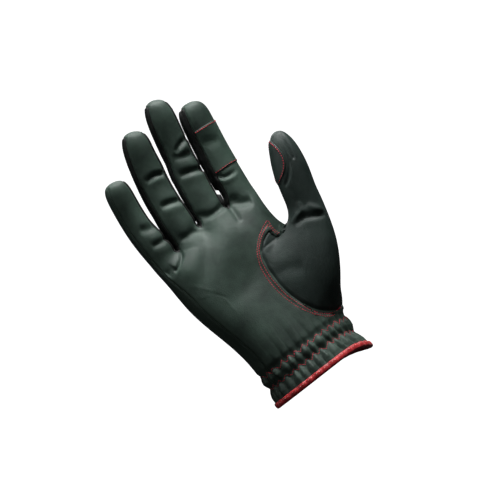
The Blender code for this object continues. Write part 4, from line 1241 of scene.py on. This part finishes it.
def panel_skin(name, places, normals, faces, thumb_points, rim_points):
    """The outer points of one panel and its edges, the edges rolled as they are sewn."""
    edges = panel_edges(faces)
    ways = inward_ways(places, normals, faces, edges)
    border = np.unique(edges)
    plain = np.array([p for p in border if p not in thumb_points and p not in rim_points])
    sewn = np.array([p for p in border if p in thumb_points])
    outer = places.copy()
    if len(plain):
        rank, away = nearest_of(places, plain, SEAM_REACH)
        near = rank >= 0
        d = away[near]
        height = -SEAM_DEPTH * np.exp(-(d / SEAM_WIDTH) ** 2)
        height += SEAM_SWELL * np.exp(-((d - SWELL_AWAY) / SWELL_WIDTH) ** 2)
        outer[near] += normals[near] * height[:, None]
        outer[plain] += ways[plain] * SEAM_CLEARANCE
    if len(sewn):
        rank, away = nearest_of(places, sewn, LIP_WIDTH)
        near = rank >= 0
        d = away[near]
        if name == "thumb_panel":
            height = -TUCK_DEPTH * (1 - eased(0, TUCK_WIDTH, d))
            slide = -TUCK_UNDER * (1 - eased(0, SLIDE_WIDTH, d))
        else:
            height = LIP_RISE * (1 - eased(LIP_START, LIP_WIDTH, d))
            height -= LIP_DIP * np.exp(-(d / LIP_DIP_WIDTH) ** 2)
            slide = -LIP_OVER * (1 - eased(0, SLIDE_WIDTH, d))
        outer[near] += normals[near] * height[:, None] + ways[sewn[rank[near]]] * slide[:, None]
    return outer, edges


def sheet_object(name, outer, inner, faces, edges, finish):
    """A closed sheet of leather from its outer and inner points."""
    used = np.unique(faces)
    number = np.full(len(outer), -1)
    number[used] = np.arange(len(used))
    flare = flared(outer[used])
    points = np.concatenate([outer[used] + flare, inner[used] + flare])
    top = number[faces]
    base = len(used)
    a, b = number[edges[:, 0]], number[edges[:, 1]]
    walls = np.stack([b, a, a + base, b + base], axis=1)
    quads = np.concatenate([top, top[:, ::-1] + base, walls])
    mesh = bpy.data.meshes.new(name)
    mesh.from_pydata(points.tolist(), [], quads.tolist())
    mesh.shade_smooth()
    mesh.set_sharp_from_angle(angle=math.radians(SHARP_ANGLE))
    return placed(name, mesh, finish)


def placed(name, mesh, finish):
    piece = linked(name, mesh)
    mesh.materials.clear()
    mesh.materials.append(finish)
    return piece


def new_material(name):
    made = bpy.data.materials.new(name)
    made.use_nodes = True
    tree = made.node_tree
    return made, tree, tree.nodes["Principled BSDF"]


def patterned(name):
    """A new material, its nodes, its shader and the coordinates of the object itself."""
    made, tree, shader = new_material(name)
    return made, tree, shader, tree.nodes.new("ShaderNodeTexCoord").outputs["Object"]


def noise(tree, coordinates, scale, detail, roughness=0.5, distortion=0.0):
    node = tree.nodes.new("ShaderNodeTexNoise")
    node.inputs["Scale"].default_value = scale
    node.inputs["Detail"].default_value = detail
    node.inputs["Roughness"].default_value = roughness
    node.inputs["Distortion"].default_value = distortion
    tree.links.new(coordinates, node.inputs["Vector"])
    return node.outputs["Fac"]


def two_tone(tree, shader, value, stops, colours):
    """Colours a surface from dark to light between two stops of a value."""
    node = tree.nodes.new("ShaderNodeValToRGB")
    for point, place, tone in zip(node.color_ramp.elements, stops, colours):
        point.position = place
        point.color = (*tone, 1)
    tree.links.new(value, node.inputs["Fac"])
    tree.links.new(node.outputs["Color"], shader.inputs["Base Color"])


def ranged(tree, value, low, high, from_low=0.3, from_high=0.7):
    node = tree.nodes.new("ShaderNodeMapRange")
    node.inputs["From Min"].default_value = from_low
    node.inputs["From Max"].default_value = from_high
    node.inputs["To Min"].default_value = low
    node.inputs["To Max"].default_value = high
    tree.links.new(value, node.inputs["Value"])
    return node.outputs["Result"]


def bumped(tree, heights, shader):
    """Adds bumps one after the other: each is a height, a strength and a distance in metres."""
    before = None
    for height, strength, distance in heights:
        node = tree.nodes.new("ShaderNodeBump")
        node.inputs["Strength"].default_value = strength
        node.inputs["Distance"].default_value = distance
        tree.links.new(height, node.inputs["Height"])
        if before:
            tree.links.new(before, node.inputs["Normal"])
        before = node.outputs["Normal"]
    tree.links.new(before, shader.inputs["Normal"])


def leather(name, dark, light, roughness, grain=0.35, wrinkle=0.25):
    """Thin smooth synthetic leather: fine grain, faint wrinkles and a worn, uneven sheen."""
    made, tree, shader, place = patterned(name)
    two_tone(tree, shader, noise(tree, place, *CLOUD), LEATHER_STOPS, (dark, light))
    sheen = ranged(tree, noise(tree, place, *SHEEN), roughness - SMOOTHER, roughness + ROUGHER)
    tree.links.new(sheen, shader.inputs["Roughness"])
    cells = tree.nodes.new("ShaderNodeTexVoronoi")
    cells.feature = "DISTANCE_TO_EDGE"
    cells.inputs["Scale"].default_value = GRAIN_SCALE
    tree.links.new(place, cells.inputs["Vector"])
    grains = ranged(tree, cells.outputs["Distance"], 0.0, 1.0, 0.0, GRAIN_EDGE)
    wrinkles = noise(tree, place, *WRINKLE)
    bumped(tree, ((wrinkles, wrinkle, WRINKLE_BUMP), (grains, grain, GRAIN_BUMP)), shader)
    shader.inputs["Specular IOR Level"].default_value = LEATHER_SPECULAR
    return made


def thread_finish(name, dark, light):
    made, tree, shader, place = patterned(name)
    fibres = noise(tree, place, *FIBRE)
    two_tone(tree, shader, fibres, THREAD_STOPS, (dark, light))
    shader.inputs["Roughness"].default_value = THREAD_ROUGHNESS
    bumped(tree, ((fibres, FIBRE_STRENGTH, FIBRE_BUMP),), shader)
    return made


def tape_finish(name, dark, light):
    """Red bound tape: a fine close weave with a soft sheen."""
    made, tree, shader, place = patterned(name)
    two_tone(tree, shader, noise(tree, place, *TAPE_CLOUD), TAPE_STOPS, (dark, light))
    shader.inputs["Roughness"].default_value = TAPE_ROUGHNESS
    shader.inputs["Sheen Weight"].default_value = TAPE_SHEEN
    weave = noise(tree, place, *TAPE_WEAVE)
    wave = noise(tree, place, *TAPE_WAVE)
    wave = (wave, TAPE_WAVE_STRENGTH, TAPE_WAVE_BUMP)
    bumped(tree, (wave, (weave, TAPE_WEAVE_STRENGTH, TAPE_WEAVE_BUMP)), shader)
    return made


def stitch_tree():
    """Geometry Nodes that lay stitches along lines: each a small rounded length of thread."""
    tree = bpy.data.node_groups.new("stitches", "GeometryNodeTree")
    inputs = (
        ("Lines", "NodeSocketGeometry"),
        ("Pitch", "NodeSocketFloat"),
        ("Length", "NodeSocketFloat"),
        ("Thickness", "NodeSocketFloat"),
        ("Thread", "NodeSocketMaterial"),
    )
    for label, kind in inputs:
        tree.interface.new_socket(label, in_out="INPUT", socket_type=kind)
    tree.interface.new_socket("Stitches", in_out="OUTPUT", socket_type="NodeSocketGeometry")
    new, link = tree.nodes.new, tree.links.new
    given, made = new("NodeGroupInput"), new("NodeGroupOutput")
    curve, spaced = new("GeometryNodeMeshToCurve"), new("GeometryNodeResampleCurve")
    spaced.mode = "LENGTH"
    link(given.outputs["Lines"], curve.inputs["Mesh"])
    link(curve.outputs["Curve"], spaced.inputs["Curve"])
    link(given.outputs["Pitch"], spaced.inputs["Length"])
    grain = new("GeometryNodeMeshUVSphere")
    grain.inputs["Segments"].default_value = STITCH_SIDES
    grain.inputs["Rings"].default_value = STITCH_RINGS
    grain.inputs["Radius"].default_value = 0.5
    size = new("ShaderNodeCombineXYZ")
    link(given.outputs["Thickness"], size.inputs["X"])
    link(given.outputs["Thickness"], size.inputs["Y"])
    link(given.outputs["Length"], size.inputs["Z"])
    tangent = new("GeometryNodeInputTangent")
    turned = new("FunctionNodeAlignRotationToVector")
    turned.axis = "Z"
    link(tangent.outputs["Tangent"], turned.inputs["Vector"])
    copies = new("GeometryNodeInstanceOnPoints")
    link(spaced.outputs["Curve"], copies.inputs["Points"])
    link(grain.outputs["Mesh"], copies.inputs["Instance"])
    link(turned.outputs["Rotation"], copies.inputs["Rotation"])
    link(size.outputs["Vector"], copies.inputs["Scale"])
    real, painted = new("GeometryNodeRealizeInstances"), new("GeometryNodeSetMaterial")
    link(copies.outputs["Instances"], real.inputs["Geometry"])
    link(real.outputs["Geometry"], painted.inputs["Geometry"])
    link(given.outputs["Thread"], painted.inputs["Material"])
    link(painted.outputs["Geometry"], made.inputs["Stitches"])
    return tree


def stitches(name, lines, pitch, length, thread, tree):
    """One piece with all the stitches along some lines."""
    points, edges = [], []
    for line in lines:
        base = len(points)
        points += [tuple(p) for p in line]
        edges += [(base + k, base + k + 1) for k in range(len(line) - 1)]
    mesh = bpy.data.meshes.new(name + "_lines")
    mesh.from_pydata(points, edges, [])
    holder = linked(name + "_lines", mesh)
    modifier = holder.modifiers.new("stitches", "NODES")
    modifier.node_group = tree
    values = {"Pitch": pitch, "Length": length, "Thickness": THREAD, "Thread": thread}
    for item in tree.interface.items_tree:
        if item.in_out == "INPUT" and item.name in values:
            modifier[item.identifier] = values[item.name]
    made = as_mesh(holder)
    made.name = name
    made.shade_smooth()
    return placed(name, made, thread)


def seen_line(tree, pixels):
    """A line on the glove through pixels of the photo, a little above the leather."""
    line = []
    for x, y in curve_through(pixels, ROW_STEPS):
        start, way = pixel_ray(x, y)
        hit, normal, _, _ = tree.ray_cast(start, way)
        if hit is not None:
            line.append(hit + normal * THREAD_LIFT)
    return line


def zigzag(tree, height):
    """A zigzag line round the cuff, its peaks on the gathers."""
    line = []
    steps = GATHERS * ZIGZAG_STEPS
    for i in range(steps + 1):
        x, y = oval_point(i, steps)
        phase = float(gather_phase(round_share(np.array(x), np.array(y)), height))
        rise = ZIGZAG_RISE * (1 - 2 * abs(2 * (phase % 1.0) - 1))
        way = Vector((x, y, 0)).normalized()
        hit = tree.ray_cast(Vector((0, 0, height + rise)), way)[0]
        if hit is not None:
            line.append(hit + way * THREAD_LIFT)
    return with_flare(line)


def colour(red, green, blue):
    """A screen colour, 0 to 255, as the shader's linear one."""
    shares = [v / 255 for v in (red, green, blue)]
    return tuple(s / 12.92 if s <= 0.04045 else ((s + 0.055) / 1.055) ** 2.4 for s in shares)


def patch_piece(name, rows, finish):
    """A second layer of leather, its edges turned down to the leather below."""
    outer, inner = [], []
    for row in rows:
        for j, (place, normal) in enumerate(row):
            ends = (rows[0][j][0], rows[-1][j][0], row[0][0], row[-1][0])
            near = min(1.0, min((end - place).length for end in ends) / PATCH_ROLL)
            lift = PATCH_EDGE + (PATCH_HEIGHT - PATCH_EDGE) * math.sqrt(1 - (1 - near) ** 2)
            outer.append(tuple(place + normal * lift))
            inner.append(tuple(place + normal * PATCH_BASE))
    base, high, wide = len(outer), len(rows) - 1, len(rows[0]) - 1
    index = {(i, j): i * (wide + 1) + j for i in range(high + 1) for j in range(wide + 1)}
    faces = []
    for i in range(high):
        for j in range(wide):
            quad = (index[i, j], index[i, j + 1], index[i + 1, j + 1], index[i + 1, j])
            faces.append(quad)
            faces.append(tuple(base + k for k in reversed(quad)))
    rim = [(0, j) for j in range(wide)]
    rim += [(i, wide) for i in range(high)]
    rim += [(high, j) for j in range(wide, 0, -1)]
    rim += [(i, 0) for i in range(high, 0, -1)]
    for one, two in zip(rim, rim[1:] + rim[:1]):
        a, b = index[one], index[two]
        faces.append((b, a, a + base, b + base))
    mesh = bpy.data.meshes.new(name)
    mesh.from_pydata(outer + inner, [], faces)
    faced_outward(mesh)
    mesh.shade_smooth()
    mesh.set_sharp_from_angle(angle=math.radians(SHARP_ANGLE))
    return placed(name, mesh, finish)


def skin_hit(tree, place, way):
    """Where the leather is met on the way out from a place, and that way."""
    way = way.normalized()
    return tree.ray_cast(place, way)[0], way


def grip_rows(tree):
    """Points of the grip patch round the index finger, and of the stitch rows near its ends."""
    finger, root = FINGERS[-1], finger_roots()[-1]

    def row_at(share):
        row = []
        for j in range(PATCH_STEPS + 1):
            angle = math.radians(GRIP_ANGLES[0] + (GRIP_ANGLES[1] - GRIP_ANGLES[0]) * j / PATCH_STEPS)
            along = GRIP_SPAN[0] + (GRIP_SPAN[1] - GRIP_SPAN[0]) * share + GRIP_SLANT * math.sin(angle)
            place, across, front = finger_frame(finger, root, along)
            row.append(skin_hit(tree, place, across * math.sin(angle) + front * math.cos(angle)))
        return row

    rows = [row_at(i / PATCH_STEPS) for i in range(PATCH_STEPS + 1)]
    lines = []
    for share in (GRIP_ROW_INSET, 1 - GRIP_ROW_INSET):
        row = row_at(share)[GRIP_ROW_ENDS:-GRIP_ROW_ENDS]
        lines.append([p + n * (PATCH_HEIGHT + THREAD_LIFT) for p, n in row])
    return rows, lines


def pad_rows(tree):
    """Points of the almond-shaped pad patch, and of the stitch row inside its edge."""

    def row_at(t, inset):
        half = THUMB_PAD_WIDTH / 2 * max(PAD_BLUNT, (1 - t * t) ** PAD_FULLNESS) - inset
        along = PAD_CENTRE + t * THUMB_PAD_LENGTH / 2 / THUMB_LENGTH
        place, across, front = thumb_frame(along)
        row = []
        for j in range(PATCH_STEPS + 1):
            turn = (2 * j / PATCH_STEPS - 1) * half / (THUMB_WIDTH / 2)
            angle = math.radians(PAD_ANGLE) + turn
            row.append(skin_hit(tree, place, front * math.cos(angle) - across * math.sin(angle)))
        return row

    rows = [row_at(2 * i / PATCH_STEPS - 1, 0.0) for i in range(PATCH_STEPS + 1)]
    sides = [[], []]
    for i in range(PATCH_STEPS + 1):
        row = row_at(PAD_ROW_SPAN * (2 * i / PATCH_STEPS - 1), PAD_ROW_INSET)
        for side, (p, n) in zip(sides, (row[0], row[-1])):
            side.append(p + n * (PATCH_HEIGHT + THREAD_LIFT))
    return rows, sides


def tape_piece(tree, finish):
    """The red binding folded over the gathered rim, and the line of its topstitch."""
    points, faces, line = [], [], []
    for i in range(TAPE_STEPS):
        x, y = oval_point(i, TAPE_STEPS)
        way = Vector((x / WRIST_WIDTH ** 2, y / WRIST_DEPTH ** 2, 0)).normalized()
        low, high = (
            tree.ray_cast(Vector((x * TAPE_START, y * TAPE_START, height * MM)), way)[0]
            for height in (TAPE_LOW, TAPE_HIGH)
        )
        for out, height in TAPE_SECTION:
            share = max(0.0, min(1.0, (height - TAPE_LOW) / (TAPE_HIGH - TAPE_LOW)))
            spot = low.lerp(high, share)
            points.append(Vector((spot.x, spot.y, 0)) + way * (out * MM) + Vector((0, 0, height * MM)))
        above = Vector((0, 0, (TAPE_STITCH_HEIGHT - TAPE_HIGH) * MM))
        line.append(high + way * (TAPE_STITCH_OUT * MM) + above)
    count = len(TAPE_SECTION)
    for i in range(TAPE_STEPS):
        after = (i + 1) % TAPE_STEPS
        for k in range(count):
            m = (k + 1) % count
            faces.append((i * count + k, i * count + m, after * count + m, after * count + k))
    mesh = bpy.data.meshes.new("rim_tape")
    mesh.from_pydata(with_flare(points), [], faces)
    faced_outward(mesh)
    mesh.shade_smooth()
    line = with_flare(line)
    return placed("rim_tape", mesh, finish), line + line[:1]


def thumb_rows(tree, places, loop, away):
    """Two closed rows of stitches beside the thumb's seam: traced where the photo shows them."""
    made = []
    last = (len(THUMB_FOLD) - 1) * POINTS_PER_SIDE
    for pixels, distance in zip(THUMB_ROW_PIXELS, THUMB_ROWS):
        line = seen_line(tree, pixels)
        hidden = []
        for index in loop[last + POINTS_PER_SIDE // 4::HIDDEN_STEP]:
            hidden.append(on_leather(tree, Vector(places[index]) + Vector(away[index]) * distance))
        made += [line, hidden + line[:1]]
    return made


def on_leather(tree, place):
    """The place a little above the leather that is nearest to a place."""
    hit, normal, *_ = tree.find_nearest(place)
    return hit + normal * THREAD_LIFT


def lay(points, tree):
    """Evens a line out between its ends and puts it back on the leather."""
    line = [Vector(p) for p in points]
    for _ in range(EVEN_ROUNDS):
        even = [(a + b * 2 + c) / 4 for a, b, c in zip(line, line[1:], line[2:])]
        line = [line[0]] + even + [line[-1]]
    return [on_leather(tree, p) for p in line]


def dress(piece, node):
    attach(piece, "root")
    if node:
        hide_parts(node)
    return piece


def looks():
    """The finish of each panel and trim."""
    return {
        "palm_panel": leather("hand_leather", colour(33, 46, 40), colour(60, 77, 68), 0.56),
        "thumb_panel": leather("thumb_leather_finish", colour(27, 38, 35), colour(42, 54, 50), 0.55),
        # Fourchettes between the fingers: near black, painted shade of the gaps between the fingers
        "painted_shade_strip": leather("strip_leather", colour(9, 12, 11), colour(18, 22, 20), 0.6, 0.3, 0.2),
        "back_panel": leather("back_leather_finish", colour(36, 50, 43), colour(56, 72, 63), 0.50),
        "grip": leather("grip_leather", colour(38, 52, 45), colour(58, 75, 66), 0.46),
        "pad": leather("pad_leather", colour(30, 41, 38), colour(46, 58, 54), 0.46),
        "tape": tape_finish("red_tape", colour(140, 10, 18), colour(194, 28, 34)),
        "thread": thread_finish("red_thread", colour(150, 16, 38), colour(225, 50, 74)),
        "pale_thread": thread_finish("pale_thread", colour(205, 120, 112), colour(238, 178, 166)),
    }


def folded_skin():
    """The skin with its folds and gathers: places, faces, panels, their names and the thumb's seam."""
    places, faces, panels, names = fine_skin()
    loop = thumb_loop(places, seam_edges(faces, panels), names.index("thumb_panel"))
    places = moved_to_fold(places + leaned(places), faces, loop)
    normals = outward(places, faces)
    tree = surface_tree(places, faces)
    places = places + normals * (creased(places, normals, tree) + gathered(places))[:, None]
    return places, faces, panels, names, loop


def glove():
    """The leather panels, patches, tape and stitches."""
    look = looks()
    places, faces, panels, names, loop = folded_skin()
    normals = outward(places, faces)
    rim_points = set(np.unique(panel_edges(faces)).tolist())
    thumb_points = set(loop)
    hand_places, hand_faces = places.copy(), []
    for number, name in enumerate(names):
        own = faces[panels == number]
        outer, edges = panel_skin(name, places, normals, own, thumb_points, rim_points)
        inner = outer - outward(outer, own) * LEATHER
        piece = name.replace("panel", "leather") if "panel" in name else name + "_leather"
        # The fourchettes fall back on the near-black leather with painted shade.
        finish = look.get(name, look["painted_shade_strip"])
        dress(sheet_object(piece, outer, inner, own, edges, finish), name)
        if name == "thumb_panel":
            thumb_tree = surface_tree(outer, own)
            away = -inward_ways(places, normals, own, edges)
        else:
            used = np.unique(own)
            hand_places[used] = outer[used]
            hand_faces.append(own)
    hand_tree = surface_tree(hand_places, np.concatenate(hand_faces))

    grid, grip_lines = grip_rows(hand_tree)
    dress(patch_piece("grip_patch_leather", grid, look["grip"]), "index_grip_patch")
    grid, pad_lines = pad_rows(thumb_tree)
    dress(patch_piece("pad_patch_leather", grid, look["pad"]), "thumb_pad_patch")
    tape, tape_line = tape_piece(hand_tree, look["tape"])
    dress(tape, "wrist_binding")

    seam_lines = [lay(row, hand_tree) for row in thumb_rows(hand_tree, places, loop, away)]
    zigzags = [zigzag(hand_tree, LOWER_ROW), zigzag(hand_tree, UPPER_ROW)]
    threads = (
        ("thumb_seam_thread", seam_lines, STITCH_PITCH, STITCH_LENGTH, look["thread"]),
        ("grip_thread", grip_lines, STITCH_PITCH, STITCH_LENGTH, look["thread"]),
        ("pad_thread", pad_lines, STITCH_PITCH, STITCH_LENGTH, look["thread"]),
        ("cuff_zigzag_thread", zigzags, ZIGZAG_PITCH, ZIGZAG_LENGTH, look["thread"]),
        ("tape_thread", [tape_line], TAPE_PITCH, TAPE_STITCH, look["pale_thread"]),
    )
    nodes = stitch_tree()
    for name, lines, pitch, length, thread in threads:
        dress(stitches(name, lines, pitch, length, thread, nodes), None)


def camera():
    aim, right, up, back = camera_axes()
    data = bpy.data.cameras.new("camera")
    data.sensor_width = SENSOR_WIDTH
    data.lens = SENSOR_WIDTH * CAMERA_DISTANCE / (PHOTO_SIDE * PIXEL)
    data.clip_start, data.clip_end = CLIP_START, CLIP_END
    made = linked("camera", data)
    turned = Matrix((right, up, back)).transposed().to_4x4()
    turned.translation = aim + back * CAMERA_DISTANCE
    made.matrix_world = turned
    bpy.context.scene.camera = made


def soft_light(name, azimuth, elevation, distance, size, power):
    """An area light that looks at the glove; azimuth 0 is in front of the palm, 90 on its right."""
    a, e = math.radians(azimuth), math.radians(elevation)
    way = Vector((math.sin(a) * math.cos(e), -math.cos(a) * math.cos(e), math.sin(e)))
    data = bpy.data.lights.new(name, "AREA")
    data.shape = "DISK"
    data.size = size
    data.energy = power
    made = linked(name, data)
    made.location = Vector(LIT_POINT) + way * distance
    made.rotation_euler = way.to_track_quat("Z", "Y").to_euler()


def studio():
    """A pale seamless floor and surround, which only the camera sees, and soft lights."""
    points, faces = [(0.0, 0.0, FLOOR_HEIGHT)], []
    turns = range(0, 360, SURROUND_TURN)
    for bend in range(0, 91, SURROUND_BEND):
        out = SURROUND_RADIUS * math.cos(math.radians(bend))
        up = FLOOR_HEIGHT + (SURROUND_TOP - FLOOR_HEIGHT) * math.sin(math.radians(bend))
        points += [(out * math.cos(math.radians(a)), out * math.sin(math.radians(a)), up) for a in turns]
    count = len(turns)
    for k in range(count):
        faces.append((0, 1 + k, 1 + (k + 1) % count))
    for i in range((len(points) - 1) // count - 1):
        for k in range(count):
            a, b = 1 + i * count + k, 1 + i * count + (k + 1) % count
            faces.append((a, a + count, b + count, b))
    mesh = bpy.data.meshes.new("floor")
    mesh.from_pydata(points, [], faces)
    mesh.shade_smooth()
    made, _, shader = new_material("pale_floor")
    shader.inputs["Base Color"].default_value = (FLOOR_GREY, FLOOR_GREY, FLOOR_GREY, 1)
    shader.inputs["Emission Color"].default_value = (1, 1, 1, 1)
    shader.inputs["Emission Strength"].default_value = SURROUND_GLOW
    floor = placed("floor", mesh, made)
    floor.visible_diffuse = floor.visible_glossy = floor.visible_shadow = False

    world = bpy.data.worlds.new("surround")
    world.use_nodes = True
    bpy.context.scene.world = world
    ground = world.node_tree.nodes["Background"]
    ground.inputs["Color"].default_value = (1, 1, 1, 1)
    ground.inputs["Strength"].default_value = AMBIENT
    for values in LIGHTS:
        soft_light(*values)
    bpy.context.scene.view_settings.view_transform = "Standard"


glove()
camera()
studio()
